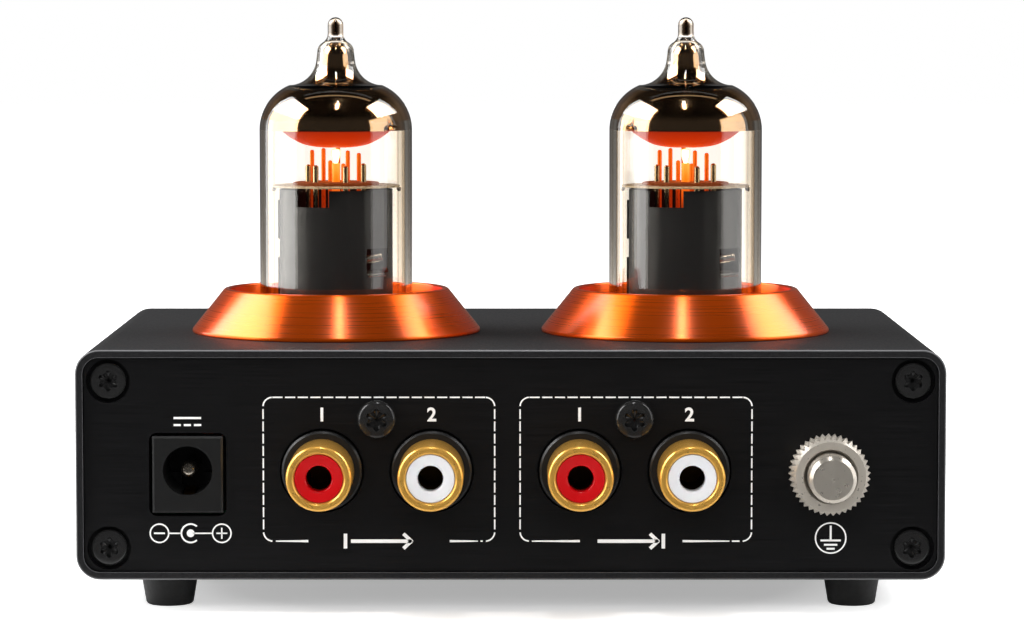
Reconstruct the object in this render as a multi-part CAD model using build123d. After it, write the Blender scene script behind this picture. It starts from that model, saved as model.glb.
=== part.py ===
from build123d import *
import os
from math import atan2, cos, pi, radians, sin, sqrt

# A small phono preamp with two miniature tubes standing on top.
# X runs to the right as the connectors are faced, Y from the connector panel towards the
# front panel, Z up. The origin is on the table under the middle of the whole object.
# All lengths are in millimetres.

os.makedirs("parts", exist_ok=True)

cut_past = 1.0  # how far a cutting shape runs past the face that it opens

# ------------------------------------------------------------------ case and feet
case_width = 111.0
case_height = 29.5
case_depth = 72.0
case_wall = 1.0
case_corner_radius = 3.1
case_rim_rounding = 0.35

foot_height = 4.3
foot_top_radius = 3.75
foot_bottom_radius = 3.03
foot_edge_rounding = 0.5
foot_inset = 11.2
foot_setback = 9.0

foot_screw_radius = 1.25
foot_screw_head_radius = 1.6
foot_screw_head_height = 1.3
foot_screw_head_recess = 0.9
foot_screw_engagement = 1.6

# ------------------------------------------------------------------ end panels
panel_thickness = 2.0
panel_recess = 0.5
panel_gap = 0.1
panel_screw_inset_x = 3.1
panel_screw_inset_z = 2.95

screw_radius = 1.25
screw_length = 8.0
screw_head_radius = 2.3
screw_head_height = 1.1
screw_head_sunk = 0.25
screw_head_rounding = 0.4
well_radius = 2.8
screw_clearance = 0.1
boss_radius = 2.7
boss_hole_clearance = 0.02

# ------------------------------------------------------------------ circuit board
board_thickness = 1.6
board_standoff = 7.0
board_end_gap = 0.3
board_side_gap = 0.3
board_slot_gap = 0.1
rail_thickness = 1.2
rail_reach = 1.6

# ------------------------------------------------------------------ phono jacks
jack_pitch = 14.0
output_pair_x = -17.06
input_pair_x = 15.78
jack_hole_radius = 5.4
jack_body_radius = 5.4
jack_body_depth = 11.0
jack_collar_radius = 5.1
jack_collar_reach = 0.9
jack_collar_chamfer = 0.25
jack_shell_radius = 4.15
jack_shell_reach = 9.4
jack_shell_wall = 0.65
jack_shell_sunk = 6.0
jack_shell_step = 0.3
jack_lip_radius = 3.1
jack_lip_length = 0.9
jack_lip_rounding = 0.45
insulator_dish = 0.4
insulator_lip_length = 1.6
plug_pin_radius = 1.6
contact_wall = 0.4
contact_length = 8.0
contact_tail_radius = 0.45
contact_tail_overhang = 1.5
jack_fit = 0.05
jack_screw_height = 6.6
jack_screw_radius = 1.25
jack_screw_length = 8.0
jack_screw_head_radius = 2.48
jack_screw_head_height = 1.3
jack_screw_head_rounding = 0.65
jack_tab_radius = 2.9

# ------------------------------------------------------------------ barrel inlet
dc_inset = 14.3
dc_axis_height = 5.4
dc_face_width = 9.0
dc_face_above_axis = 4.41
dc_face_reach = 0.3
dc_face_chamfer = 0.25
dc_block_depth = 3.5
dc_barrel_radius = 4.1
dc_body_depth = 13.7
dc_hole_radius = 3.15
dc_hole_depth = 10.4
dc_pin_radius = 1.0
dc_pin_sunk = 1.1
dc_pin_rounding = 0.8
dc_cutout_gap = 0.43
dc_cutout_corner = 1.0
dc_spring_width = 1.4
dc_spring_thickness = 0.25
dc_spring_slot_width = 1.9
dc_spring_slot_depth = 0.75
dc_step_reach = 1.6
dc_step_below_axis = 1.2
dc_step_gap = 2.9

# ------------------------------------------------------------------ ground terminal
ground_inset = 15.2
post_radius = 3.0
post_reach = 10.4
post_chamfer = 0.55
post_flange_radius = 4.4
post_flange_thickness = 1.0
stud_radius = 2.0
stud_length = 7.5
stud_hole_clearance = 0.1
washer_radius = 4.3
washer_thickness = 0.6
nut_radius = 5.1
nut_length = 5.3
nut_bore_gap = 0.05
nut_face_inner_radius = 3.46
nut_face_outer_radius = 4.3
nut_countersink = 1.2
nut_pitch = 1.0
nut_travel = 3.0
knurl_tooth_count = 40
knurl_tooth_depth = 0.5
knurl_end_radius = 4.4
knurl_crest_gap = 0.05
lug_radius = 4.2
lug_thickness = 0.8
lug_tail_width = 3.0
lock_nut_across_flats = 7.0
lock_nut_thickness = 2.4
thread_fit = 0.02

# ------------------------------------------------------------------ tube rings
ring_base_radius = 19.4
ring_top_radius = 15.0
ring_height = 5.9
ring_rim_width = 0.65
ring_rim_rounding = 0.2
ring_foot_height = 0.35
ring_spigot_radius = 13.9
ring_spigot_wall = 0.8
ring_spigot_length = 1.6
ring_spigot_gap = 0.05

# ------------------------------------------------------------------ tubes
tube_centre_x = 23.5
tube_setback = 30.3
tube_seat_below_top = 7.0
tube_lift = 15.0
glass_radius = 10.25
glass_wall = 0.9
glass_length = 49.2
glass_base_rounding = 2.2
stem_thickness = 3.0
dome_start = 34.1
dome_arc_radius = 6.5
dome_arc_end = 40.1
neck_radius = 2.6
neck_start = 43.3
neck_hollow = 0.72
neck_hollow_drop = 1.72
neck_top_radius = 2.45
neck_top = 44.5
neck_bulge = 0.14
tip_radius = 1.05
tip_straight_start = 47.1
neck_wall_share = 0.65

base_pin_count = 9
base_pin_circle_radius = 5.95
base_pin_radius = 0.5
base_pin_length = 6.9

mica_radius = 8.55
mica_thickness = 0.25
lower_mica_height = 7.0
upper_mica_height = 26.5
mica_hole_gap = 0.06
plate_radius = 5.8
plate_thickness = 0.4

anode_radius = 7.6
anode_wall = 0.25
anode_top_gap = 0.3
anode_notch_left = -5.0
anode_notch_width = 4.4
anode_notch_height = 2.2
anode_window_left = 4.15
anode_window_width = 2.75
anode_window_low = 7.9
anode_window_height = 3.3
anode_seam_radius = 7.87
anode_seam_reach = 0.5
anode_seam_width = 0.3
anode_seams = ((0.0, 9.75), (12.25, 17.45))

# posts of the electrodes: x, y and how far each stands above the upper mica
support_post_radius = 0.37
support_posts = ((-3.8, 0.8, 2.7), (-2.6, -2.2, 2.7), (1.4, -3.0, 2.6), (3.7, -0.8, 2.9))
grid_post_radius = 0.3
grid_posts = (
    (-3.4, 3.0, 4.6), (-1.9, 4.0, 4.8), (1.45, 3.6, 4.5), (3.0, 2.6, 4.2),
    (-0.9, 2.4, 3.2), (0.9, 1.9, 2.8),
)
post_tip_roundness = 0.8

cathode_radius = 0.55
cathode_wall = 0.2
cathode_above_mica = 2.9
heater_wire_radius = 0.2
heater_bead_radius = 0.6
getter_radius = 6.7
getter_depth = 2.46
getter_bottom_height = 31.8
getter_thickness = 0.25
getter_stem_radius = 0.3
getter_stem_y = 6.25
getter_step_radius = 4.4
getter_step_height = 0.75
getter_step_width = 0.35
getter_brim_bulge = 0.12
bead_below_getter = 0.15

# ------------------------------------------------------------------ tube sockets
socket_radius = 10.0
socket_body_height = 8.6
socket_glass_gap = 0.2
socket_hole_radius = 0.55
socket_leg_radius = 0.6
socket_spigot_radius = 2.4
socket_chamfer = 0.4
socket_hole_spare = 0.5

# ------------------------------------------------------------------ gain control
gain_x = -30.0
pot_width = 11.5
pot_depth = 9.0
pot_above_axis = 5.0
pot_bushing_radius = 3.5
pot_bushing_reach = 2.9
pot_nut_across_flats = 10.0
pot_nut_thickness = 2.0
shaft_radius = 3.0
shaft_reach = 10.0
shaft_flat = 2.1
shaft_gap = 0.05
shaft_end_gap = 0.5
knob_radius = 7.5
knob_base_gap = 0.6
knob_reach = 12.0
knob_wall = 1.2
knob_cavity_top = 3.2
knob_chamfer = 0.6
knob_line_width = 0.8
knob_line_depth = 0.35
knob_line_start = 3.0

# ------------------------------------------------------------------ power switch and lamp
toggle_x = 34.0
toggle_body_width = 8.0
toggle_body_depth = 9.0
toggle_above_axis = 5.0
toggle_bushing_radius = 3.0
toggle_bushing_reach = 4.5
toggle_nut_across_flats = 8.0
toggle_nut_thickness = 1.8
toggle_pivot_height = 0.5
toggle_ball_radius = 1.65
toggle_ball_gap = 0.1
toggle_mouth_radius = 2.3
toggle_pin_radius = 0.45
toggle_pin_reach = 0.3
toggle_pin_gap = 0.05
toggle_lever_length = 10.0
toggle_neck_radius = 0.85
toggle_neck_length = 3.3
toggle_tip_radius = 1.35
toggle_tilt = 12.0
toggle_bore_depth = 2.2
toggle_bore_rise = 1.0

led_x = 22.0
led_radius = 1.5
led_flange_radius = 1.9
led_flange_thickness = 1.0
led_straight_reach = 0.3
led_lead_radius = 0.25
led_lead_spacing = 2.54
led_lead_back = 3.2
bushing_hole_gap = 0.1

# ------------------------------------------------------------------ parts on the board
filter_cap_radius = 4.0
filter_cap_height = 12.0
filter_cap_inset = 11.5
filter_cap_setbacks = (26.0, 36.0)
filter_cap_chamfer = 0.4
film_cap_size = (7.2, 4.0, 6.5)
film_cap_x = 5.0
film_cap_setbacks = (24.0, 31.0, 38.0)
chip_size = (4.0, 5.0, 1.6)
chip_x = 8.0
chip_setback = 48.0

# ------------------------------------------------------------------ places worked out
case_bottom_z = foot_height
case_top_z = case_bottom_z + case_height
case_mid_z = case_bottom_z + case_height / 2
rear_reach = post_reach - panel_recess
front_reach = knob_reach - panel_recess
case_mid_y = (rear_reach - front_reach) / 2
case_rear_y = case_mid_y - case_depth / 2
case_front_y = case_mid_y + case_depth / 2
rear_face_y = case_rear_y + panel_recess
front_face_y = case_front_y - panel_recess
panel_face_span = case_depth - 2 * panel_recess
foot_centre_x = case_width / 2 - foot_inset
dc_x = dc_inset - case_width / 2
ground_x = case_width / 2 - ground_inset
filter_cap_x = case_width / 2 - filter_cap_inset

cavity_width = case_width - 2 * case_wall
cavity_height = case_height - 2 * case_wall
cavity_corner_radius = case_corner_radius - case_wall
panel_width = cavity_width - 2 * panel_gap
panel_height = cavity_height - 2 * panel_gap
panel_screw_x = panel_width / 2 - panel_screw_inset_x
panel_screw_z = panel_height / 2 - panel_screw_inset_z

board_bottom_z = case_bottom_z + board_standoff
board_top_z = board_bottom_z + board_thickness
jack_z = board_top_z + jack_body_radius
dc_z = board_top_z + dc_axis_height
ground_z = jack_z
control_z = case_mid_z
jack_screw_z = jack_z + jack_screw_height

tube_y = case_rear_y + tube_setback
tube_base_z = case_top_z - tube_seat_below_top
socket_top_z = tube_base_z - socket_glass_gap

nut_low = post_flange_thickness + washer_thickness
nut_high = nut_low + nut_length


# ------------------------------------------------------------------ helpers
def rear(x, z):
    """A place on the rear panel's outer face, with its own Z pointing out of the case."""
    return Plane(origin=(x, rear_face_y, z), x_dir=(1, 0, 0), z_dir=(0, -1, 0))


def front(x, z):
    """The same on the front panel."""
    return Plane(origin=(x, front_face_y, z), x_dir=(-1, 0, 0), z_dir=(0, 1, 0))


def rod(radius, low, high, x=0, y=0):
    """A cylinder along Z from low to high."""
    return Pos(x, y, (low + high) / 2) * Cylinder(radius, high - low)


def block(width, depth, low, high, x=0, y=0):
    """A box along Z from low to high."""
    return Pos(x, y, (low + high) / 2) * Box(width, depth, high - low)


def turned(*outline):
    """A solid of revolution about Z, from (radius, height) corners."""
    return revolve(Plane.XZ * make_face(Polyline(*outline, close=True)), Axis.Z)


def hexagon(across_flats, low, high):
    """A hexagonal prism along Z."""
    side = RegularPolygon(across_flats / 2, 6, major_radius=False)
    return Pos(0, 0, low) * extrude(side, amount=high - low)


def save(name, *pieces):
    """Write one sub-part's solids to its own file."""
    solids = [solid for piece in pieces for solid in piece.solids()]
    whole = solids[0] if len(solids) == 1 else Compound(children=solids)
    export_step(whole, f"parts/{name}.step")


corners = [(sx, sz) for sx in (-1, 1) for sz in (-1, 1)]
foot_places = [
    (side * foot_centre_x, y)
    for side in (-1, 1)
    for y in (case_rear_y + foot_setback, case_front_y - foot_setback)
]


# ------------------------------------------------------------------ case
def case_shell():
    """Extruded sleeve with four screw bosses and two board rails on each side."""
    outline = RectangleRounded(case_width, case_height, case_corner_radius)
    sleeve = Pos(0, 0, panel_recess - case_depth) * extrude(outline, amount=case_depth)
    ends = sleeve.edges().group_by(Axis.Z)
    sleeve = fillet(list(ends[0]) + list(ends[-1]), case_rim_rounding)
    opening = RectangleRounded(cavity_width, cavity_height, cavity_corner_radius)
    cavity = Pos(0, 0, panel_recess - case_depth) * extrude(opening, amount=case_depth)

    low, high = panel_thickness - panel_face_span, -panel_thickness
    rail_x = cavity_width / 2 - rail_reach / 2
    ribs = []
    for side in (-1, 1):
        for rail_low in (
            board_bottom_z - rail_thickness,
            board_top_z + board_slot_gap,
        ):
            middle = rail_low + rail_thickness / 2 - case_mid_z
            ribs.append(block(rail_reach, rail_thickness, low, high, side * rail_x, middle))
    for sx, sz in corners:
        x, z = sx * panel_screw_x, sz * panel_screw_z
        fill_x, fill_z = cavity_width / 2 - panel_screw_x, cavity_height / 2 - panel_screw_z
        ribs.append(rod(boss_radius, low, high, x, z))
        ribs.append(block(fill_x, fill_z, low, high, x + sx * fill_x / 2, z + sz * fill_z / 2))
    inside = Part() + ribs
    shell = sleeve - cavity + (inside & cavity)
    for sx, sz in corners:
        hole = screw_radius + boss_hole_clearance
        shell -= rod(hole, low, high, sx * panel_screw_x, sz * panel_screw_z)

    shell = rear(0, case_mid_z) * shell
    for side in (-1, 1):
        hole = ring_spigot_radius + ring_spigot_gap
        shell -= rod(hole, case_top_z - 2 * case_wall, case_top_z + cut_past, side * tube_centre_x, tube_y)
    for x, y in foot_places:
        hole = foot_screw_radius + thread_fit
        shell -= rod(hole, case_bottom_z - cut_past, case_bottom_z + 2 * case_wall, x, y)
    return shell


def blank_panel():
    """A panel with four wells for its corner screws, outer face at height 0."""
    outline = RectangleRounded(panel_width, panel_height, cavity_corner_radius - panel_gap)
    panel = Pos(0, 0, -panel_thickness) * extrude(outline, amount=panel_thickness)
    for sx, sz in corners:
        x, z = sx * panel_screw_x, sz * panel_screw_z
        panel -= rod(well_radius, -screw_head_sunk - screw_head_height, cut_past, x, z)
        panel -= rod(screw_radius + screw_clearance, -panel_thickness - cut_past, cut_past, x, z)
    return panel


def rear_panel():
    panel = rear(0, case_mid_z) * blank_panel()
    low = -panel_thickness - cut_past
    for pair_x in (output_pair_x, input_pair_x):
        for side in (-1, 1):
            panel -= rear(pair_x + side * jack_pitch / 2, jack_z) * rod(jack_hole_radius, low, cut_past)
        panel -= rear(pair_x, jack_screw_z) * rod(jack_screw_radius + screw_clearance, low, cut_past)
    panel -= rear(ground_x, ground_z) * rod(stud_radius + stud_hole_clearance, low, cut_past)
    cutout = RectangleRounded(
        dc_face_width + 2 * dc_cutout_gap,
        dc_axis_height + dc_face_above_axis + 2 * dc_cutout_gap,
        dc_cutout_corner,
    )
    middle = dc_z + (dc_face_above_axis - dc_axis_height) / 2
    return panel - rear(dc_x, middle) * Pos(0, 0, low) * extrude(cutout, amount=cut_past - low)


def front_panel():
    panel = front(0, case_mid_z) * blank_panel()
    low = -panel_thickness - cut_past
    for x, radius in (
        (gain_x, pot_bushing_radius),
        (toggle_x, toggle_bushing_radius),
        (led_x, led_radius),
    ):
        panel -= front(x, control_z) * rod(radius + bushing_hole_gap, low, cut_past)
    return panel


def pan_screw(radius, length, head_radius, head_low, head_height, rounding):
    """A screw along Z with its head on top, pointing down."""
    head = rod(head_radius, head_low, head_low + head_height)
    head = fillet(head.edges().group_by(Axis.Z)[-1], rounding)
    return head + rod(radius, head_low - length, head_low + head_height / 2)


def panel_screws():
    head_low = -screw_head_sunk - screw_head_height
    screw = pan_screw(
        screw_radius, screw_length, screw_head_radius, head_low, screw_head_height,
        screw_head_rounding,
    )
    return [
        side(0, case_mid_z) * Pos(sx * panel_screw_x, sz * panel_screw_z, 0) * screw
        for side in (rear, front)
        for sx, sz in corners
    ]


def jack_screws():
    screw = pan_screw(
        jack_screw_radius, jack_screw_length, jack_screw_head_radius, 0,
        jack_screw_head_height, jack_screw_head_rounding,
    )
    return [rear(x, jack_screw_z) * screw for x in (output_pair_x, input_pair_x)]


def foot():
    """A tapered rubber foot with a pocket underneath for its screw, centred on Z."""
    cone = turned((0, 0), (foot_bottom_radius, 0), (foot_top_radius, foot_height), (0, foot_height))
    cone = fillet(cone.edges().group_by(Axis.Z)[0], foot_edge_rounding)
    pocket_top = foot_screw_head_recess + foot_screw_head_height
    cone -= rod(foot_screw_head_radius + screw_clearance, -cut_past, pocket_top)
    return cone - rod(foot_screw_radius + screw_clearance, 0, foot_height + cut_past)


def foot_screw():
    head_top = foot_screw_head_recess + foot_screw_head_height
    thread_end = foot_height + case_wall + foot_screw_engagement
    head = rod(foot_screw_head_radius, foot_screw_head_recess, head_top)
    return head + rod(foot_screw_radius, head_top - foot_screw_head_height / 2, thread_end)


# ------------------------------------------------------------------ circuit board
def circuit_board():
    width = cavity_width - 2 * board_side_gap
    depth = panel_face_span - 2 * (panel_thickness + board_end_gap)
    return block(width, depth, board_bottom_z, board_top_z, 0, case_mid_y)


def capacitors():
    """Four electrolytic cans beside the tubes and six film types between them."""
    can = rod(filter_cap_radius, board_top_z, board_top_z + filter_cap_height)
    can = chamfer(can.edges().group_by(Axis.Z)[-1], filter_cap_chamfer)
    width, depth, height = film_cap_size
    film = block(width, depth, board_top_z, board_top_z + height)
    cans = [
        Pos(side * filter_cap_x, case_rear_y + setback, 0) * can
        for side in (-1, 1)
        for setback in filter_cap_setbacks
    ]
    films = [
        Pos(side * film_cap_x, case_rear_y + setback, 0) * film
        for side in (-1, 1)
        for setback in film_cap_setbacks
    ]
    return cans + films


def amplifier_chips():
    width, depth, height = chip_size
    return [
        block(width, depth, board_top_z, board_top_z + height, side * chip_x, case_rear_y + chip_setback)
        for side in (-1, 1)
    ]


# ------------------------------------------------------------------ phono jacks
def jack_body():
    """Moulded block for two jacks, with a raised middle for its fixing screw."""
    back, face = -panel_thickness - jack_body_depth, -panel_thickness
    below = jack_z - board_top_z
    outline = Pos(0, -below / 2) * Rectangle(jack_pitch + 2 * jack_body_radius, below)
    outline += Pos(0, jack_screw_height / 2) * Rectangle(2 * jack_tab_radius, jack_screw_height)
    outline += Pos(0, jack_screw_height) * Circle(jack_tab_radius)
    for side in (-1, 1):
        outline += Pos(side * jack_pitch / 2, 0) * Circle(jack_body_radius)
    outline += Pos(0, jack_body_radius / 2 - below / 4) * Rectangle(
        jack_pitch, jack_body_radius + below / 2
    )
    body = Pos(0, 0, back) * extrude(outline, amount=face - back)
    for side in (-1, 1):
        x = side * jack_pitch / 2
        collar = rod(jack_collar_radius, face, jack_collar_reach)
        collar = chamfer(collar.edges().group_by(Axis.Z)[-1], jack_collar_chamfer)
        body += Pos(x, 0, 0) * collar
        bore = jack_shell_radius - jack_shell_step + jack_fit
        body -= rod(bore, -jack_shell_sunk, jack_collar_reach + cut_past, x)
        body -= rod(contact_tail_radius + jack_fit, back - cut_past, 0, x)
    return body - rod(
        jack_screw_radius + thread_fit, -jack_screw_length - thread_fit, 0, 0, jack_screw_height
    )


def jack_shell():
    """Plated outer contact: a tube stepped to stand on the collar, its front edge rolled inwards."""
    inner = jack_shell_radius - jack_shell_wall
    tail = jack_shell_radius - jack_shell_step
    lip_low = jack_shell_reach - jack_lip_length
    shell = turned(
        (inner, -jack_shell_sunk), (tail, -jack_shell_sunk), (tail, jack_collar_reach),
        (jack_shell_radius, jack_collar_reach),
        (jack_shell_radius, jack_shell_reach), (jack_lip_radius, jack_shell_reach),
        (jack_lip_radius, lip_low), (inner, lip_low),
    )
    rim = shell.edges().group_by(Axis.Z)[-1].sort_by(SortBy.RADIUS)
    shell = fillet(rim[-1], jack_lip_rounding)
    rim = shell.edges().filter_by(GeomType.CIRCLE).group_by(Axis.Z)[-1].sort_by(SortBy.RADIUS)
    return fillet(rim[0], jack_lip_rounding / 2)


def jack_insulator():
    """Coloured liner with a dished face and a pocket behind its lip for the spring contact."""
    outer = jack_shell_radius - jack_shell_wall - jack_fit
    nose = jack_lip_radius - jack_fit
    shoulder = jack_shell_reach - jack_lip_length - jack_fit
    face = jack_shell_reach - jack_lip_rounding
    pocket = plug_pin_radius + contact_wall + jack_fit
    pocket_high = face - insulator_dish - insulator_lip_length
    pocket_low = pocket_high - contact_length - contact_wall
    tail = contact_tail_radius + jack_fit
    return turned(
        (tail, -jack_shell_sunk), (outer, -jack_shell_sunk), (outer, shoulder), (nose, shoulder),
        (nose, face), (plug_pin_radius + insulator_dish / 2, face - insulator_dish),
        (plug_pin_radius, face - insulator_dish * 1.5), (plug_pin_radius, pocket_high),
        (pocket, pocket_high), (pocket, pocket_low), (tail, pocket_low),
    )


def jack_contact():
    """Centre contact sleeve with a tail that turns down to the board."""
    high = jack_shell_reach - jack_lip_rounding - insulator_dish - insulator_lip_length
    floor = high - contact_length
    outer = plug_pin_radius + contact_wall
    tail_end = -panel_thickness - jack_body_depth - contact_tail_overhang
    sleeve = turned(
        (0, floor - contact_wall), (outer, floor - contact_wall), (outer, high),
        (plug_pin_radius, high), (plug_pin_radius, floor), (0, floor),
    )
    sleeve += rod(contact_tail_radius, tail_end, floor)
    drop = jack_z - board_top_z
    leg = Pos(0, -drop / 2, tail_end) * Rot(90, 0, 0) * Cylinder(contact_tail_radius, drop)
    return sleeve + leg + Pos(0, 0, tail_end) * Sphere(contact_tail_radius)


# ------------------------------------------------------------------ barrel inlet
def dc_jack_body():
    """Square-faced inlet with a round barrel behind, standing on the board."""
    height = dc_axis_height + dc_face_above_axis
    middle = (dc_face_above_axis - dc_axis_height) / 2
    block_low = dc_face_reach - dc_block_depth
    back = dc_face_reach - dc_body_depth
    nose = block(dc_face_width, height, block_low, dc_face_reach, 0, middle)
    nose = chamfer(nose.edges().group_by(Axis.Z)[-1], dc_face_chamfer)
    barrel = rod(dc_barrel_radius, back, block_low)
    cradle = block(2 * dc_barrel_radius, dc_axis_height, back, block_low, 0, -dc_axis_height / 2)
    hole_floor = dc_face_reach - dc_hole_depth
    body = nose + barrel + cradle - rod(dc_hole_radius, hole_floor, dc_face_reach + cut_past)
    slot_middle = -dc_hole_radius + dc_spring_slot_depth / 2 - dc_spring_slot_depth
    body -= block(
        dc_spring_slot_width, 2 * dc_spring_slot_depth, hole_floor, dc_face_reach - dc_pin_sunk,
        0, slot_middle,
    )
    steps = block(
        2 * dc_hole_radius, dc_hole_radius, hole_floor, hole_floor + dc_step_reach,
        0, -dc_step_below_axis - dc_hole_radius / 2,
    )
    steps -= block(
        dc_step_gap, 2 * dc_hole_radius, hole_floor - cut_past, cut_past, 0, -dc_hole_radius
    )
    body += steps & rod(dc_hole_radius, hole_floor, dc_face_reach)
    return body - rod(dc_pin_radius + thread_fit, back, hole_floor + cut_past)


def dc_jack_pin():
    back = dc_face_reach - dc_body_depth
    pin = rod(dc_pin_radius, back, dc_face_reach - dc_pin_sunk)
    return fillet(pin.edges().group_by(Axis.Z)[-1], dc_pin_rounding)


def dc_jack_spring():
    """Leaf contact lying in the slot under the hole, arched up into it."""
    low = dc_face_reach - dc_hole_depth
    high = dc_face_reach - dc_pin_sunk - 2 * thread_fit
    floor = -dc_hole_radius - dc_spring_slot_depth + dc_spring_thickness
    crest = -dc_hole_radius + 2 * dc_spring_thickness
    middle = (low + high) / 2
    arch = ThreePointArc((floor, low), (crest, middle), (floor, high))
    strip = make_face(
        arch
        + Line((floor, high), (floor - dc_spring_thickness, high))
        + ThreePointArc(
            (floor - dc_spring_thickness, high), (crest - dc_spring_thickness, middle),
            (floor - dc_spring_thickness, low),
        )
        + Line((floor - dc_spring_thickness, low), (floor, low))
    )
    section = Plane(origin=(-dc_spring_width / 2, 0, 0), x_dir=(0, 1, 0), z_dir=(1, 0, 0))
    return extrude(section * strip, amount=dc_spring_width)


# ------------------------------------------------------------------ ground terminal
def ground_post():
    post = rod(post_radius, 0, post_reach)
    post = chamfer(post.edges().group_by(Axis.Z)[-1], post_chamfer)
    return post + rod(post_flange_radius, 0, post_flange_thickness) + rod(
        stud_radius, -stud_length, post_flange_thickness
    )


def ground_washer():
    ring = rod(washer_radius, post_flange_thickness, nut_low)
    return ring - rod(post_radius + nut_bore_gap, 0, nut_high)


def knurl_row(low, high, turn):
    """One row of pointed teeth, bevelled towards both ends of the row."""
    root = nut_radius - knurl_tooth_depth
    points = []
    for tooth in range(knurl_tooth_count):
        for radius, part in ((nut_radius, 0), (root, 0.5)):
            angle = 2 * pi * (tooth + part + turn) / knurl_tooth_count
            points.append((radius * cos(angle), radius * sin(angle)))
    row = Pos(0, 0, low) * extrude(make_face(Polyline(*points, close=True)), amount=high - low)
    crest = nut_radius + knurl_crest_gap
    return row & turned(
        (0, low), (knurl_end_radius, low), (crest, (low + high) / 2), (knurl_end_radius, high), (0, high)
    )


def ground_nut():
    """Thumb nut with two staggered rows of pyramid teeth and a countersunk face."""
    middle = (nut_low + nut_high) / 2
    nut = rod(nut_face_outer_radius, nut_low, nut_high)
    nut += knurl_row(nut_low, middle, 0)
    nut += knurl_row(middle, nut_high, 0.5)
    nut -= rod(post_radius + nut_bore_gap, nut_low - cut_past, nut_high + cut_past)
    sink = nut_high - nut_countersink
    return nut - turned(
        (0, sink), (post_radius + nut_bore_gap, sink), (nut_face_inner_radius, nut_high),
        (nut_face_inner_radius, nut_high + cut_past), (0, nut_high + cut_past),
    )


def ground_lug():
    high, low = -panel_thickness, -panel_thickness - lug_thickness
    drop = ground_z - board_top_z
    lug = rod(lug_radius, low, high) + block(lug_tail_width, drop, low, high, 0, -drop / 2)
    return lug - rod(stud_radius + thread_fit, low - cut_past, high + cut_past)


def ground_lock_nut():
    high = -panel_thickness - lug_thickness
    nut = hexagon(lock_nut_across_flats, high - lock_nut_thickness, high)
    return nut - rod(stud_radius + thread_fit, high - lock_nut_thickness - cut_past, high + cut_past)


# ------------------------------------------------------------------ tube rings and sockets
def tube_ring():
    """Conical collar standing on the case top, with a spigot down through the hole."""
    spigot_inner = ring_spigot_radius - ring_spigot_wall
    rim_inner = ring_top_radius - ring_rim_width
    ring = turned(
        (ring_spigot_radius, -ring_spigot_length), (ring_spigot_radius, 0), (ring_base_radius, 0),
        (ring_base_radius, ring_foot_height), (ring_top_radius, ring_height),
        (rim_inner, ring_height), (rim_inner, ring_height / 2), (spigot_inner, 0),
        (spigot_inner, -ring_spigot_length),
    )
    rim = ring.edges().filter_by(GeomType.CIRCLE).group_by(Axis.Z)[-1]
    return fillet(rim, ring_rim_rounding)


def base_pin_places():
    """The nine pin positions, on ten divisions of the circle with one left out."""
    step = 360 / (base_pin_count + 1)
    angles = [radians(-90 + step * (number + 1)) for number in range(base_pin_count)]
    return [(base_pin_circle_radius * cos(a), base_pin_circle_radius * sin(a)) for a in angles]


def tube_socket():
    """Moulded nine-hole socket standing on its solder legs."""
    high = socket_top_z - tube_base_z
    low = high - socket_body_height
    socket = rod(socket_radius, low, high)
    socket = chamfer(socket.edges().group_by(Axis.Z)[-1], socket_chamfer)
    socket -= rod(socket_spigot_radius, low - cut_past, high + cut_past)
    hole_floor = high - base_pin_length - socket_hole_spare
    for x, y in base_pin_places():
        socket -= rod(socket_hole_radius, hole_floor, high + cut_past, x, y)
        socket += rod(socket_leg_radius, board_top_z - tube_base_z, low, x, y)
    return socket


# ------------------------------------------------------------------ tubes, glass base at height 0
def shoulder_end(skin_inset):
    """Radius and height where the round shoulder meets the hollow curve under the neck."""
    arc_radius = dome_arc_radius - skin_inset
    rise = (dome_arc_end - dome_start) * arc_radius / dome_arc_radius
    return glass_radius - dome_arc_radius + sqrt(arc_radius**2 - rise**2), dome_start + rise


def envelope_lines(skin_inset, base_height):
    """One skin of the envelope, from the axis at its base up to its neck."""
    radius = glass_radius - skin_inset
    rounding = glass_base_rounding
    arc_radius = dome_arc_radius - skin_inset
    centre_radius = glass_radius - dome_arc_radius
    crown = shoulder_end(skin_inset)
    half_angle = atan2(crown[1] - dome_start, crown[0] - centre_radius) / 2
    shoulder_middle = (
        centre_radius + arc_radius * cos(half_angle), dome_start + arc_radius * sin(half_angle)
    )
    diagonal = rounding * (1 - cos(radians(45)))
    neck = (neck_radius - skin_inset * neck_wall_share, neck_start - skin_inset / 2)
    hollow = (neck[0] + neck_hollow, neck[1] - neck_hollow_drop)
    return [
        Line((0, base_height), (radius - rounding, base_height)),
        ThreePointArc(
            (radius - rounding, base_height), (radius - diagonal, base_height + diagonal),
            (radius, base_height + rounding),
        ),
        Line((radius, base_height + rounding), (radius, dome_start)),
        ThreePointArc((radius, dome_start), shoulder_middle, crown),
        ThreePointArc(crown, hollow, neck),
    ], neck


def neck_to_tip():
    """The S-shaped shoulder between the neck and the sealed-off tip, as two arcs."""
    low, high = (neck_top_radius, neck_top), (tip_radius, tip_straight_start)
    middle = ((low[0] + high[0]) / 2, (low[1] + high[1]) / 2)
    run, rise = middle[0] - low[0], middle[1] - low[1]
    bulge = (rise * neck_bulge, -run * neck_bulge)
    lower = (low[0] + run / 2 + bulge[0], low[1] + rise / 2 + bulge[1])
    upper = (middle[0] + run / 2 - bulge[0], middle[1] + rise / 2 - bulge[1])
    return [ThreePointArc(low, lower, middle), ThreePointArc(middle, upper, high)]


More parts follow.
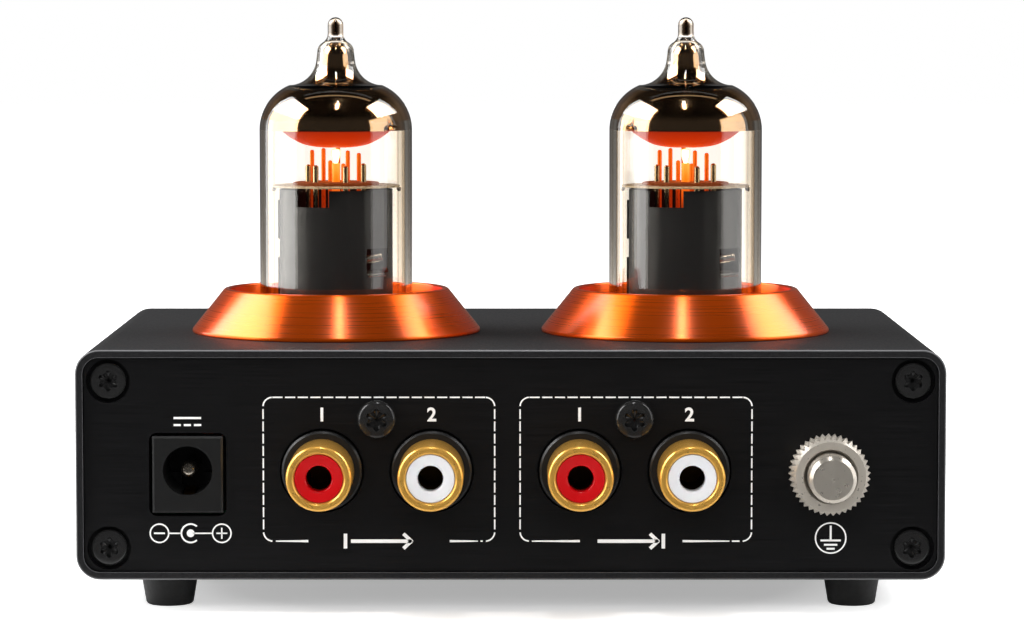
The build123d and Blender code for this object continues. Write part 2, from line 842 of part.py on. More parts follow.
def tube_glass():
    """Envelope with its sealed-off tip, and holes in the thick base for the pins."""
    lines, neck = envelope_lines(0, 0)
    tip_centre = glass_length - tip_radius
    diagonal = tip_radius * cos(radians(45))
    lines += [
        Line(neck, (neck_top_radius, neck_top)),
        *neck_to_tip(),
        Line((tip_radius, tip_straight_start), (tip_radius, tip_centre)),
        ThreePointArc(
            (tip_radius, tip_centre), (diagonal, tip_centre + diagonal), (0, glass_length)
        ),
        Line((0, glass_length), (0, 0)),
    ]
    hollow, inner_neck = envelope_lines(glass_wall, stem_thickness)
    cavity_radius = inner_neck[0] - neck_radius + neck_top_radius
    bend = cavity_radius * cos(radians(45))
    hollow += [
        Line(inner_neck, (cavity_radius, neck_top)),
        ThreePointArc((cavity_radius, neck_top), (bend, neck_top + bend), (0, neck_top + cavity_radius)),
        Line((0, neck_top + cavity_radius), (0, stem_thickness)),
    ]
    skins = [revolve(Plane.XZ * make_face(Wire(edges)), Axis.Z) for edges in (lines, hollow)]
    glass = skins[0] - skins[1]
    for x, y in base_pin_places():
        glass -= rod(base_pin_radius, -cut_past, stem_thickness + cut_past, x, y)
    return glass


def tube_pins():
    """Nine pins, each running up through the base to just under the lower mica."""
    pin = rod(base_pin_radius, -base_pin_length, lower_mica_height)
    pin = chamfer(pin.edges().group_by(Axis.Z)[0], base_pin_radius / 2)
    return [Pos(x, y, 0) * pin for x, y in base_pin_places()]


def tube_micas():
    """Lower and upper spacer discs, the upper one doubled in its middle."""
    lower = rod(mica_radius, lower_mica_height, lower_mica_height + mica_thickness)
    plate_top = upper_mica_height + mica_thickness + plate_thickness
    upper = rod(mica_radius, upper_mica_height, upper_mica_height + mica_thickness)
    upper += rod(plate_radius, upper_mica_height, plate_top)
    holes = [(x, y, support_post_radius) for x, y, _ in support_posts]
    holes += [(x, y, grid_post_radius) for x, y, _ in grid_posts]
    holes.append((0, 0, cathode_radius))
    for x, y, radius in holes:
        upper -= rod(radius + mica_hole_gap, upper_mica_height - cut_past, plate_top + cut_past, x, y)
    return [lower, upper]


def tube_anode():
    """Round anode between the spacers: folded seam on its left, notch and window in its front."""
    low = lower_mica_height + mica_thickness
    high = upper_mica_height - anode_top_gap
    anode = rod(anode_radius, low, high)
    for seam_low, seam_high in anode_seams:
        seam = block(anode_seam_reach, anode_seam_width, low + seam_low, low + seam_high)
        anode += Pos(anode_seam_reach / 2 - anode_seam_radius, 0, 0) * seam
    anode -= rod(anode_radius - anode_wall, low - cut_past, high + cut_past)
    notch_x = anode_notch_left + anode_notch_width / 2
    window_x = anode_window_left + anode_window_width / 2
    window_low = low + anode_window_low
    anode -= block(
        anode_notch_width, anode_radius, high - anode_notch_height, high + cut_past,
        notch_x, -anode_radius,
    )
    return anode - block(
        anode_window_width, anode_radius, window_low, window_low + anode_window_height,
        window_x, -anode_radius,
    )


def tube_posts():
    """Support posts and grid posts, standing on the lower mica and ending in round tips."""
    low = lower_mica_height + mica_thickness
    mica_top = upper_mica_height + mica_thickness
    posts = []
    for places, radius in ((support_posts, support_post_radius), (grid_posts, grid_post_radius)):
        for x, y, above in places:
            post = rod(radius, low, mica_top + above)
            post = fillet(post.edges().group_by(Axis.Z)[-1], radius * post_tip_roundness)
            posts.append(Pos(x, y, 0) * post)
    return posts


def tube_cathode():
    low = lower_mica_height + mica_thickness
    high = upper_mica_height + mica_thickness + cathode_above_mica
    bore = rod(cathode_radius - cathode_wall, low - cut_past, high + cut_past)
    return rod(cathode_radius, low, high) - bore


def tube_heater():
    """Heater wire up through the cathode, with its glowing bead over the top."""
    bead_z = getter_bottom_height - getter_thickness - bead_below_getter - heater_bead_radius
    wire = rod(heater_wire_radius, lower_mica_height + mica_thickness, bead_z)
    return wire + Pos(0, 0, bead_z) * Sphere(heater_bead_radius)


def getter_skin(height):
    """One side of the dish, from the axis at this height out to its rim."""
    middle, rim = (0, height), (getter_radius, height + getter_depth)
    step_low = (getter_step_radius, height + getter_step_height)
    step_high = (getter_step_radius + getter_step_width, step_low[1] + getter_step_width)
    brim_x, brim_z = (step_high[0] + rim[0]) / 2, (step_high[1] + rim[1]) / 2
    return [
        ThreePointArc(middle, (step_low[0] / 2, height + getter_step_height / 4), step_low),
        Line(step_low, step_high),
        ThreePointArc(step_high, (brim_x + getter_brim_bulge, brim_z - getter_brim_bulge), rim),
    ]


def tube_getter():
    """Shallow dish with a stepped brim over the electrodes, on a stem from the upper mica."""
    low, high = getter_bottom_height, getter_bottom_height + getter_thickness
    rim_low, rim_high = low + getter_depth, high + getter_depth
    skins = getter_skin(low) + getter_skin(high)
    ends = [Line((0, low), (0, high)), Line((getter_radius, rim_low), (getter_radius, rim_high))]
    dish = revolve(Plane.XZ * make_face(Wire(skins + ends)), Axis.Z)
    over = getter_skin((low + high) / 2)
    over_top = (0, rim_high + cut_past)
    over += [
        Line((getter_radius, (rim_low + rim_high) / 2), (getter_radius, over_top[1])),
        Line((getter_radius, over_top[1]), over_top),
        Line(over_top, (0, (low + high) / 2)),
    ]
    above = revolve(Plane.XZ * make_face(Wire(over)), Axis.Z)
    stem = rod(getter_stem_radius, upper_mica_height + mica_thickness, rim_low, 0, getter_stem_y)
    return dish + (stem - above)


# ------------------------------------------------------------------ gain control
def gain_pot_body():
    low, high = -panel_thickness - pot_depth, -panel_thickness
    below = control_z - board_top_z
    height = below + pot_above_axis
    body = block(pot_width, height, low, high, 0, (pot_above_axis - below) / 2)
    body += rod(pot_bushing_radius, high, pot_bushing_reach)
    return body - rod(shaft_radius + shaft_gap, low + shaft_end_gap, pot_bushing_reach + cut_past)


def gain_pot_shaft():
    """Round shaft with a flat where the knob grips it."""
    low = -panel_thickness - pot_depth + 2 * shaft_end_gap
    shaft = rod(shaft_radius, low, shaft_reach)
    cut = shaft_radius - shaft_flat
    return shaft - block(
        2 * shaft_radius, cut, knob_cavity_top, shaft_reach + cut_past, 0, shaft_flat + cut / 2
    )


def gain_pot_nut():
    nut = hexagon(pot_nut_across_flats, 0, pot_nut_thickness)
    return nut - rod(pot_bushing_radius + thread_fit, -cut_past, pot_nut_thickness + cut_past)


def gain_knob():
    """Turned knob, hollow below over the bushing nut, with a pointer line on its face."""
    knob = rod(knob_radius, knob_base_gap, knob_reach)
    knob = chamfer(knob.edges().group_by(Axis.Z)[-1], knob_chamfer)
    knob -= rod(knob_radius - knob_wall, 0, knob_cavity_top)
    bore = rod(shaft_radius + thread_fit, knob_cavity_top - cut_past, shaft_reach + 2 * thread_fit)
    cut = 2 * shaft_radius
    bore -= block(
        2 * cut, cut, knob_cavity_top, knob_reach, 0, shaft_flat + thread_fit + cut / 2
    )
    line = knob_radius - knob_line_start
    knob -= block(
        knob_line_width, line, knob_reach - knob_line_depth, knob_reach + cut_past,
        0, knob_line_start + line / 2,
    )
    return knob - bore


# ------------------------------------------------------------------ power switch and lamp
def toggle_body():
    """Switch case standing on the board, with a threaded bushing and a flared mouth."""
    low, high = -panel_thickness - toggle_body_depth, -panel_thickness
    below = control_z - board_top_z
    height = below + toggle_above_axis
    body = block(toggle_body_width, height, low, high, 0, (toggle_above_axis - below) / 2)
    body += rod(toggle_bushing_radius, high, toggle_bushing_reach)
    bore = toggle_ball_radius + toggle_ball_gap
    pin_hole = Rot(0, 90, 0) * Cylinder(
        toggle_pin_radius + toggle_pin_gap, 2 * (bore + toggle_pin_reach)
    )
    body -= Pos(0, 0, toggle_pivot_height) * pin_hole
    return body - turned(
        (0, -toggle_bore_depth), (bore, -toggle_bore_depth), (bore, toggle_pivot_height + toggle_bore_rise),
        (toggle_mouth_radius, toggle_bushing_reach), (toggle_mouth_radius, toggle_bushing_reach + cut_past),
        (0, toggle_bushing_reach + cut_past),
    )


def toggle_lever():
    """Bat lever on a ball with a cross pin, shown tilted up."""
    tip = toggle_lever_length - toggle_tip_radius
    lever = turned(
        (0, 0), (toggle_neck_radius, 0), (toggle_neck_radius, toggle_neck_length),
        (toggle_tip_radius, tip), (0, tip),
    )
    lever += Pos(0, 0, tip) * Sphere(toggle_tip_radius) + Sphere(toggle_ball_radius)
    lever += Rot(0, 90, 0) * Cylinder(toggle_pin_radius, 2 * (toggle_ball_radius + toggle_pin_reach))
    return Pos(0, 0, toggle_pivot_height) * Rot(-toggle_tilt, 0, 0) * lever


def toggle_nut():
    nut = hexagon(toggle_nut_across_flats, 0, toggle_nut_thickness)
    return nut - rod(toggle_bushing_radius + thread_fit, -cut_past, toggle_nut_thickness + cut_past)


def power_led():
    """Round lamp through the panel, its two leads bent down to the board."""
    back = -panel_thickness - led_flange_thickness
    lamp = rod(led_radius, back, led_straight_reach) + Pos(0, 0, led_straight_reach) * Sphere(led_radius)
    lamp += rod(led_flange_radius, back, -panel_thickness)
    drop = control_z - board_top_z
    bend = back - led_lead_back
    for side in (-1, 1):
        x = side * led_lead_spacing / 2
        lamp += rod(led_lead_radius, bend, back, x)
        lamp += Pos(x, -drop / 2, bend) * Rot(90, 0, 0) * Cylinder(led_lead_radius, drop)
        lamp += Pos(x, 0, bend) * Sphere(led_lead_radius)
    return lamp


# ------------------------------------------------------------------ the whole preamp
save("case_shell", case_shell())
save("rear_panel", rear_panel())
save("front_panel", front_panel())
save("panel_screws", *panel_screws())
save("jack_screws", *jack_screws())
save("feet", *[Pos(x, y, 0) * foot() for x, y in foot_places])
save("foot_screws", *[Pos(x, y, 0) * foot_screw() for x, y in foot_places])

save("circuit_board", circuit_board())
save("capacitors", *capacitors())
save("amplifier_chips", *amplifier_chips())

for pair, pair_x in (("output", output_pair_x), ("input", input_pair_x)):
    save(f"{pair}_jack_body", rear(pair_x, jack_z) * jack_body())
    for channel, side in (("right", -1), ("left", 1)):
        place = rear(pair_x + side * jack_pitch / 2, jack_z)
        save(f"{pair}_{channel}_shell", place * jack_shell())
        save(f"{pair}_{channel}_insulator", place * jack_insulator())
        save(f"{pair}_{channel}_contact", place * jack_contact())

save("dc_jack_body", rear(dc_x, dc_z) * dc_jack_body())
save("dc_jack_pin", rear(dc_x, dc_z) * dc_jack_pin())
save("dc_jack_spring", rear(dc_x, dc_z) * dc_jack_spring())

save("ground_post", rear(ground_x, ground_z) * ground_post())
save("ground_washer", rear(ground_x, ground_z) * ground_washer())
save("ground_nut", rear(ground_x, ground_z) * ground_nut())
save("ground_lug", rear(ground_x, ground_z) * ground_lug())
save("ground_lock_nut", rear(ground_x, ground_z) * ground_lock_nut())

for name, side in (("left", -1), ("right", 1)):
    seat = Pos(side * tube_centre_x, tube_y, tube_base_z)
    save(f"{name}_tube_ring", Pos(side * tube_centre_x, tube_y, case_top_z) * tube_ring())
    save(f"{name}_tube_socket", seat * tube_socket())
    save(f"{name}_tube_glass", seat * tube_glass())
    save(f"{name}_tube_pins", *[seat * pin for pin in tube_pins()])
    save(f"{name}_tube_micas", *[seat * mica for mica in tube_micas()])
    save(f"{name}_tube_anode", seat * tube_anode())
    save(f"{name}_tube_posts", *[seat * post for post in tube_posts()])
    save(f"{name}_tube_cathode", seat * tube_cathode())
    save(f"{name}_tube_heater", seat * tube_heater())
    save(f"{name}_tube_getter", seat * tube_getter())

save("gain_pot_body", front(gain_x, control_z) * gain_pot_body())
save("gain_pot_shaft", front(gain_x, control_z) * gain_pot_shaft())
save("gain_pot_nut", front(gain_x, control_z) * gain_pot_nut())
save("gain_knob", front(gain_x, control_z) * gain_knob())

save("toggle_body", front(toggle_x, control_z) * toggle_body())
save("toggle_lever", front(toggle_x, control_z) * toggle_lever())
save("toggle_nut", front(toggle_x, control_z) * toggle_nut())
save("power_led", front(led_x, control_z) * power_led())
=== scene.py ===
"""The finishes of a small phono preamp with two miniature tubes, laid over its fixed solid model."""

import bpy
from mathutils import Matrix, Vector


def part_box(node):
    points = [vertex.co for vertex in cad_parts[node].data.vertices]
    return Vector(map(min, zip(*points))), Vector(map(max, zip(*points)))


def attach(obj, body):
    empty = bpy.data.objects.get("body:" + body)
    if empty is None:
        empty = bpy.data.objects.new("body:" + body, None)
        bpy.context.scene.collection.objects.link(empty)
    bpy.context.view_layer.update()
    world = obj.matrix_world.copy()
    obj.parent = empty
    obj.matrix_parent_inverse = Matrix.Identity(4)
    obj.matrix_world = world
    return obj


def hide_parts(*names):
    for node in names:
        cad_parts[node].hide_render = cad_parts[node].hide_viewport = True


bl_info = {
    "name": "Tube Phono Preamp",
    "version": (1, 0, 0),
    "blender": (4, 5, 0),
    "location": "3D View > Sidebar > Preamp",
    "description": "Builds the metalwork, printing, tubes and controls of a small tube phono preamp",
    "category": "Object",
}

from cmath import phase, rect
from math import atan2, copysign, cos, pi, radians, sin

import bmesh
import bpy
from mathutils import Matrix, Vector

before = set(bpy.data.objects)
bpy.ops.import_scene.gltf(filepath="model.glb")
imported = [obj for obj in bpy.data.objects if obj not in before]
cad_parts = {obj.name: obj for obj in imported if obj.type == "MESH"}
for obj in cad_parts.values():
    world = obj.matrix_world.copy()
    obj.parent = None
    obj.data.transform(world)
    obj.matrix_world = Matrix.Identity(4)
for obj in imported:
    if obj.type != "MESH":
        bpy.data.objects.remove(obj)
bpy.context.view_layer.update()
MM = 0.001
SIDES = ("left", "right")
PAIRS = ("output", "input")
CHANNELS = ("right", "left")
CAPITAL_SHARE = 0.7  # capital height of the built-in typeface, as a share of its size

# sizes in millimetres that the frame's boxes don't give
SHANK_RADIUS = 1.25
SCREW_LENGTH = 8.0
RECESS_DEPTH = 1.2
LOBE_DEPTH = 0.15
PANEL_SCREW_RADIUS, PANEL_RECESS = 2.3, 1.12
JACK_SCREW_RADIUS, JACK_RECESS = 2.48, 1.22

SHELL_RADIUS = 4.15
SHELL_TAIL_RADIUS = 3.85
SHELL_INNER_RADIUS = 3.5
LINER_RADIUS = 3.08
PLUG_PIN_RADIUS = 1.6
COLLAR_REACH = 0.9

POST_RADIUS = 3.0
POST_BEVEL = 0.5
GROOVE_PITCH = 0.24
GROOVE_DEPTH = 0.012

RING_BASE_RADIUS = 19.4
RING_TOP_RADIUS = 15.0

FILM_EDGE = 34.25
NECK_HEIGHT, NECK_BLEND = 46.3, 0.5
BEAD_HEIGHT = 31.0
MICA_RADIUS, MICA_THICKNESS = 8.55, 0.25
MICA_LOW, MICA_HIGH = 7.0, 26.5
MICA_TOP = MICA_HIGH + MICA_THICKNESS
PLATE_RADIUS, PLATE_THICKNESS = 5.8, 0.4
ELECTRODE_LOW = 7.3
SUPPORT_RADIUS, GRID_RADIUS, STEM_RADIUS = 0.37, 0.3, 0.3
STEM_PLACE, STEM_TOP = 6.25, 33.0
CLIP_PLACE, CLIP_SPREAD, CLIP_HEIGHT, CLIP_RADIUS = 8.45, 0.6, 26.3, 0.3
ANODE_RADIUS, ANODE_WALL = 7.6, 0.2
ANODE_LOW, ANODE_HIGH = 7.25, 26.2
SEAM_WIDTH, SEAM_THICKNESS = 0.34, 0.3
NOTCH_LEFT, NOTCH_RIGHT, NOTCH_LOW = -5.0, -0.6, 24.0
WINDOW_LEFT, WINDOW_RIGHT, WINDOW_LOW, WINDOW_HIGH = 4.15, 6.9, 15.15, 18.45
FLAT_MIDDLE, FLAT_HALF = 23.2, 7.8  # degrees from the front of the anode
SEAM_RUNS = ((7.3, 17.0), (19.5, 24.7))

# corners of radius, height and rounding
HEATER_PROFILE = (
    (0, 7.4, 0), (0.2, 7.4, 0), (0.2, 29.4, 0), (0.42, 30.1, 0.3), (0.68, BEAD_HEIGHT, 0.4),
    (0.5, 31.55, 0.3), (0, 31.62, 0),
)
DISH_PROFILE = (
    (0, 31.75, 0), (3.0, 31.8, 1.2), (5.4, 32.5, 1.4), (7.55, 34.15, 0.06), (7.45, FILM_EDGE, 0.04),
    (5.3, 32.7, 1.3), (3.0, 32.0, 1.0), (0, 31.95, 0),
)

# electrodes: X, Y and how far each stands above the upper mica
SUPPORT_POSTS = ((-3.8, 0.8, 2.7), (-2.6, -2.2, 2.7), (1.4, -3.0, 2.6), (3.7, -0.8, 2.9))
GRID_POSTS = (
    (-3.4, 3.0, 4.6), (-1.9, 4.0, 4.8), (1.45, 3.6, 4.5), (3.0, 2.6, 4.2), (-0.9, 2.4, 3.2),
    (0.9, 1.9, 2.8),
)

# print on the rear panel: X from the middle and height above the case's underside
FRAME_LOW, FRAME_HIGH, FRAME_CORNER = 4.95, 23.4, 1.2
CORNER_GAP = 4  # degrees
TAPER_THIN, TAPER_THICK = 0.8, 1.7  # times the plain stroke
FRAMES = (
    (-31.55, -2.04, ((-30.0, -25.85), (-7.78, -4.18))),
    (1.2, 30.75, ((2.71, 8.83), (21.95, 27.94))),
)
DASH, DASH_GAP = 1.25, 0.32
NUMERAL_HEIGHT = 21.1
DC_MARK_HEIGHT = 20.3
POLARITY_PLACE, POLARITY_SPACING = (-40.87, 5.96), 3.98
POLARITY_RADIUS, POLARITY_ARM, POLARITY_DOT = 1.18, 0.7, 0.5
POLARITY_OPENING = 48  # degrees each way from the right
EARTH_PLACE, EARTH_RADIUS = (40.87, 5.35), 1.94
ARROWS = ((-16.9, False), (15.3, True))  # X from the middle, and whether it points in
ARROW_HALF, ARROW_HEAD, ARROW_WEIGHT = 4.2, 0.95, 0.45
REAR_NUMERAL, SCALE_NUMERAL = 1.7, 1.4
SCALE_RADIUS, TICK_LENGTH, SCALE_NUMERAL_GAP = 8.6, 1.1, 2.3
POINTER_START, POINTER_END, POINTER_WIDTH = 3.05, 6.85, 0.76
POINTER_SUNK, POINTER_THICKNESS = 0.34, 0.3

# how finishes vary: ends of the noise, slopes at which painted edge highlights show, openness of hollows
# that painted shade darkens
NOISE_LOW, NOISE_HIGH = 0.3, 0.7
EDGE_STARTS, EDGE_FULL = 0.99, 0.88
FILLET_SLOPE, FILLET_STARTS, FILLET_FULL = 0.62, 0.34, 0.12
HOLLOW_DARK, HOLLOW_CLEAR = 0.62, 0.85
CUT_STARTS, CUT_FULL = 0.45, 0.3  # millimetres in from the case's ends

# painted reflections and dark lines of the glass by how far it turns from the eye: thin wall, and solid tip
WALL_PAINTED_REFLECTIONS = (
    (0.0, "#fffcf7"), (0.25, "#fbf8f2"), (0.34, "#e6e2dc"), (0.5, "#efe2cf"), (0.55, "#b39c7e"),
    (0.59, "#f2e4d0"), (0.66, "#e8d4b8"), (0.7, "#8c6c4c"), (0.75, "#dcc4a4"), (0.82, "#927252"),
    (0.88, "#3a281a"), (0.96, "#0e0906"),
)
SOLID_PAINTED_REFLECTIONS = (
    (0.0, "#1c1510"), (0.05, "#2e241b"), (0.1, "#b39f8a"), (0.2, "#efe6da"), (0.36, "#d8cab8"),
    (0.46, "#3a2e24"), (1.0, "#120d0a"),
)

# the stage, in metres: where mirrored floor turns dark along Y, and where the seen floor burns out
DARK_FLOOR_STARTS, DARK_FLOOR_FULL = -0.045, -0.06
BURNT_FLOOR_STARTS, BURNT_FLOOR_FULL, NEAR_FLOOR_GLOW = 0.04, 0.08, 0.4
# directions, as Y and Z of a unit vector, between which the mirrored surroundings change
SHINE_FRONT, SHINE_BACK = 0.1, 0.5
SHINE_LOW, SHINE_HIGH = 0.35, 0.6
# upright lamps beside the object: name, its radiance's property, X, reach along Y and reach along Z
SOFTBOXES = (
    ("left_softbox", "left_radiance", -0.4, (-0.215, 0.3), (0.0, 0.24)),
    ("left_softbox_top", "left_top_radiance", -0.4, (-0.215, 0.3), (0.24, 0.56)),
    ("right_softbox", "right_radiance", 0.4, (-0.26, 0.1), (0.0, 0.24)),
    ("right_softbox_top", "right_top_radiance", 0.4, (-0.1, 0.26), (0.25, 0.6)),
)
# lamps overhead and in front: name, property, centre, the place it faces, width and height
STRIPS = (
    ("top_strip", "strip_radiance", (0, -0.2, 0.5), (0, -0.2, 0), 0.025, 0.16),
    ("edge_strip", "edge_radiance", (0, 0.12, 0.5), (0, 0.12, 0), 0.5, 0.04),
    ("front_fill", "fill_radiance", (0, -1.1, 0.55), (0, 0, 0.03), 1.2, 0.5),
)


def srgb(code):
    """An sRGB hex colour as linear red, green and blue."""
    parts = [int(code[i : i + 2], 16) / 255 for i in (1, 3, 5)]
    return [p / 12.92 if p <= 0.04045 else ((p + 0.055) / 1.055) ** 2.4 for p in parts]


def size(name, description, default):
    """A size in metres that a user may change."""
    return bpy.props.FloatProperty(
        name=name, description=description, default=default, unit="LENGTH", precision=5
    )


def colour(name, description, code):
    """A colour that a user may change, written as sRGB hex."""
    return bpy.props.FloatVectorProperty(
        name=name, description=description, subtype="COLOR", default=srgb(code), min=0, max=1
    )


def number(name, description, default):
    """A plain number that a user may change."""
    return bpy.props.FloatProperty(name=name, description=description, default=default, precision=4)


# ---------------------------------------------------------------- places taken from the frame
def node_box(name):
    """Lowest and highest corner of a node, and its middle."""
    low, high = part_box(name)
    return low, high, (low + high) / 2


CASE_LOW, CASE_HIGH, CASE_MIDDLE = node_box("case_shell")
REAR_FACE_Y = node_box("rear_panel")[0].y
FRONT_FACE_Y = node_box("front_panel")[1].y


def rear(x, z):
    """A place on the rear panel's face: local X to the right, Y up, Z out of the case."""
    return Matrix.Translation((x, REAR_FACE_Y, z)) @ Matrix.Rotation(radians(90), 4, "X")


def front(x, z):
    """The same on the front panel."""
    turn = Matrix.Rotation(radians(180), 4, "Z") @ Matrix.Rotation(radians(90), 4, "X")
    return Matrix.Translation((x, FRONT_FACE_Y, z)) @ turn


def axis_of(node):
    """The X and Z of a turned piece whose axis runs front to back."""
    middle = node_box(node)[2]
    return middle.x, middle.z


def tube_seat(side):
    """The middle of a tube's glass base."""
    low, _, middle = node_box(f"{side}_tube_glass")
    return Matrix.Translation((middle.x, middle.y, low.z))


# ---------------------------------------------------------------- mesh helpers
def arc_through(start, middle, end, steps=10):
    """Corners of radius and height along the circular arc through three points."""
    first, second, third = (complex(*point) for point in (start, middle, end))
    ratio = (third - first) / (second - first)
    centre = first + (second - first) * (ratio - abs(ratio) ** 2) / (2j * ratio.imag)
    half = phase((second - centre) / (first - centre))
    sweep = phase((third - centre) / (first - centre))
    if half * sweep < 0:
        sweep += copysign(2 * pi, half)
    points = [centre + (first - centre) * rect(1, sweep * step / steps) for step in range(steps + 1)]
    return [(point.real, point.imag, 0) for point in points]


def spun(bm, angle, steps, whole=True):
    """Spins everything in a bmesh about Z."""
    bmesh.ops.spin(
        bm, geom=bm.verts[:] + bm.edges[:], cent=(0, 0, 0), axis=(0, 0, 1), dvec=(0, 0, 0),
        angle=angle, steps=steps, use_merge=whole,
    )


def turned(corners, steps=96, ring=False):
    """A shape turned about Z from corners of radius, height and rounding, in millimetres."""
    bm = bmesh.new()
    verts = [bm.verts.new((radius * MM, 0, height * MM)) for radius, height, _ in corners]
    for ends in zip(verts, verts[1:]):
        bm.edges.new(ends)
    if ring:
        bm.edges.new((verts[-1], verts[0]))
    for vert, (_, _, rounding) in zip(verts, corners):
        if rounding:
            bmesh.ops.bevel(
                bm, geom=[vert], offset=rounding * MM, offset_type="OFFSET", segments=6,
                profile=0.5, affect="VERTICES", material=-1,
            )
    spun(bm, 2 * pi, steps)
    bmesh.ops.remove_doubles(bm, verts=bm.verts, dist=1e-7)
    bmesh.ops.recalc_face_normals(bm, faces=bm.faces)
    return bm


def lobed(rings):
    """A closed shape from rings of radius, height and how deep their six lobes are, in millimetres."""
    bm = bmesh.new()
    bmesh.ops.create_circle(bm, segments=96, radius=1)
    verts, edges = bm.verts[:], bm.edges[:]
    for number, (radius, height, depth) in enumerate(rings):
        if number:
            grown = bmesh.ops.extrude_edge_only(bm, edges=edges)["geom"]
            verts = [part for part in grown if isinstance(part, bmesh.types.BMVert)]
            edges = [part for part in grown if isinstance(part, bmesh.types.BMEdge) and part.is_boundary]
        for vert in verts:
            angle = atan2(vert.co.y, vert.co.x)
            reach = radius * (1 - depth * cos(6 * angle)) * MM
            vert.co = (reach * cos(angle), reach * sin(angle), height * MM)
    bmesh.ops.holes_fill(bm, edges=[edge for edge in bm.edges if edge.is_boundary], sides=0)
    bmesh.ops.recalc_face_normals(bm, faces=bm.faces)
    return bm


def joined(shapes):
    """Several bmeshes as one."""
    whole = bmesh.new()
    for shape in shapes:
        mesh = bpy.data.meshes.new("joining")
        shape.to_mesh(mesh)
        shape.free()
        whole.from_mesh(mesh)
        bpy.data.meshes.remove(mesh)
    return whole


def moved(shape, place):
    """The bmesh after a transform."""
    bmesh.ops.transform(shape, matrix=place, verts=shape.verts)
    if place.determinant() < 0:
        bmesh.ops.reverse_faces(shape, faces=shape.faces)
    return shape


def at(x, y, z=0.0):
    """A move by millimetres."""
    return Matrix.Translation((x * MM, y * MM, z * MM))


def piece(name, shape, material, body, slot, *replaced, place=None, sharp=35):
    """The finished object of a bmesh: placed, smooth up to an angle, riding on its body."""
    if place is not None:
        moved(shape, place)
    mesh = bpy.data.meshes.new(name)
    shape.to_mesh(mesh)
    shape.free()
    mesh.shade_smooth()
    mesh.set_sharp_from_angle(angle=radians(sharp))
    mesh.materials.append(material)
    made = bpy.data.objects.new(name, mesh)
    bpy.context.scene.collection.objects.link(made)
    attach(made, body)
    if replaced:
        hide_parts(*replaced)
    return made


def dress(material, *names):
    """Gives CAD nodes a material."""
    for name in names:
        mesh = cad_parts[name].data
        mesh.materials.clear()
        mesh.materials.append(material)


# ---------------------------------------------------------------- flat shapes of the print
def bar(start, end, width, end_width=None):
    """A flat strip between two places, straight or tapered, in millimetres."""
    bm = bmesh.new()
    first, last = Vector(start), Vector(end)
    across = (last - first).orthogonal().normalized() / 2
    far = across * (end_width or width)
    near = across * width
    corners = (first - near, last - far, last + far, first + near)
    bm.faces.new([bm.verts.new((corner.x * MM, corner.y * MM, 0)) for corner in corners])
    bmesh.ops.recalc_face_normals(bm, faces=bm.faces)
    return bm


def band(centre, radius, width, start=0.0, sweep=360.0):
    """A flat ring, or an arc of one, in millimetres and degrees."""
    bm = bmesh.new()
    turn = Matrix.Rotation(radians(start), 3, "Z")
    inner = bm.verts.new(turn @ Vector(((radius - width / 2) * MM, 0, 0)))
    outer = bm.verts.new(turn @ Vector(((radius + width / 2) * MM, 0, 0)))
    bm.edges.new((inner, outer))
    spun(bm, radians(sweep), max(6, round(sweep / 6)), sweep == 360)
    return moved(bm, at(*centre))


def disc(centre, radius):
    """A flat round dot, in millimetres."""
    bm = bmesh.new()
    bmesh.ops.create_circle(bm, cap_ends=True, segments=48, radius=radius * MM)
    return moved(bm, at(*centre))


def lettering(text, centre, height, weight=0.0):
    """Numerals as a flat mesh, their capital height and extra weight in millimetres."""
    curve = bpy.data.curves.new("lettering", "FONT")
    curve.body = text
    curve.align_x = "CENTER"
    curve.align_y = "CENTER"
    curve.size = height * MM / CAPITAL_SHARE
    curve.offset = weight * MM
    curve.resolution_u = 6
    holder = bpy.data.objects.new("lettering", curve)
    mesh = bpy.data.meshes.new_from_object(holder)
    bm = bmesh.new()
    bm.from_mesh(mesh)
    bpy.data.objects.remove(holder)
    bpy.data.curves.remove(curve)
    bpy.data.meshes.remove(mesh)
    return moved(bm, at(*centre))


def raised(shapes, height):
    """Flat shapes joined and given a height, their faces outwards."""
    bm = joined(shapes)
    bmesh.ops.remove_doubles(bm, verts=bm.verts, dist=1e-7)
    for face in bm.faces:
        face.normal_update()
    bmesh.ops.reverse_faces(bm, faces=[face for face in bm.faces if face.normal.z > 0])
    grown = bmesh.ops.extrude_face_region(bm, geom=bm.faces[:], use_keep_orig=True)["geom"]
    verts = [part for part in grown if isinstance(part, bmesh.types.BMVert)]
    bmesh.ops.translate(bm, verts=verts, vec=(0, 0, height))
    bmesh.ops.recalc_face_normals(bm, faces=bm.faces)
    return bm


def dashed(start, end, dash, gap, width):
    """A dashed straight line between two places, its dashes spread evenly."""
    first, last = Vector(start), Vector(end)
    run = last - first
    count = max(1, round((run.length + gap) / (dash + gap)))
    step = (run.length + gap) / count
    way = run.normalized()
    return [
        bar(first + way * step * number, first + way * (step * (number + 1) - gap), width)
        for number in range(count)
    ]


# ---------------------------------------------------------------- material helpers
def add_node(tree, kind, inputs=(), **settings):
    """Adds a shader node. inputs maps socket names or numbers to values, or to sockets that feed them."""
    new = tree.nodes.new("ShaderNode" + kind)
    for name, value in settings.items():
        setattr(new, name, value)
    for name, value in dict(inputs).items():
        if isinstance(value, bpy.types.NodeSocket):
            tree.links.new(value, new.inputs[name])
        else:
            new.inputs[name].default_value = value
    return new


def new_material(name, inputs):
    """A material of one Principled shader with these inputs."""
    material = bpy.data.materials.new(name)
    material.use_nodes = True
    tree = material.node_tree
    tree.nodes.clear()
    shader = add_node(tree, "BsdfPrincipled", inputs)
    add_node(tree, "OutputMaterial", {"Surface": shader.outputs[0]})
    return material


def shading(material):
    """The node tree of a material, and its Principled shader."""
    return material.node_tree, material.node_tree.nodes["Principled BSDF"]


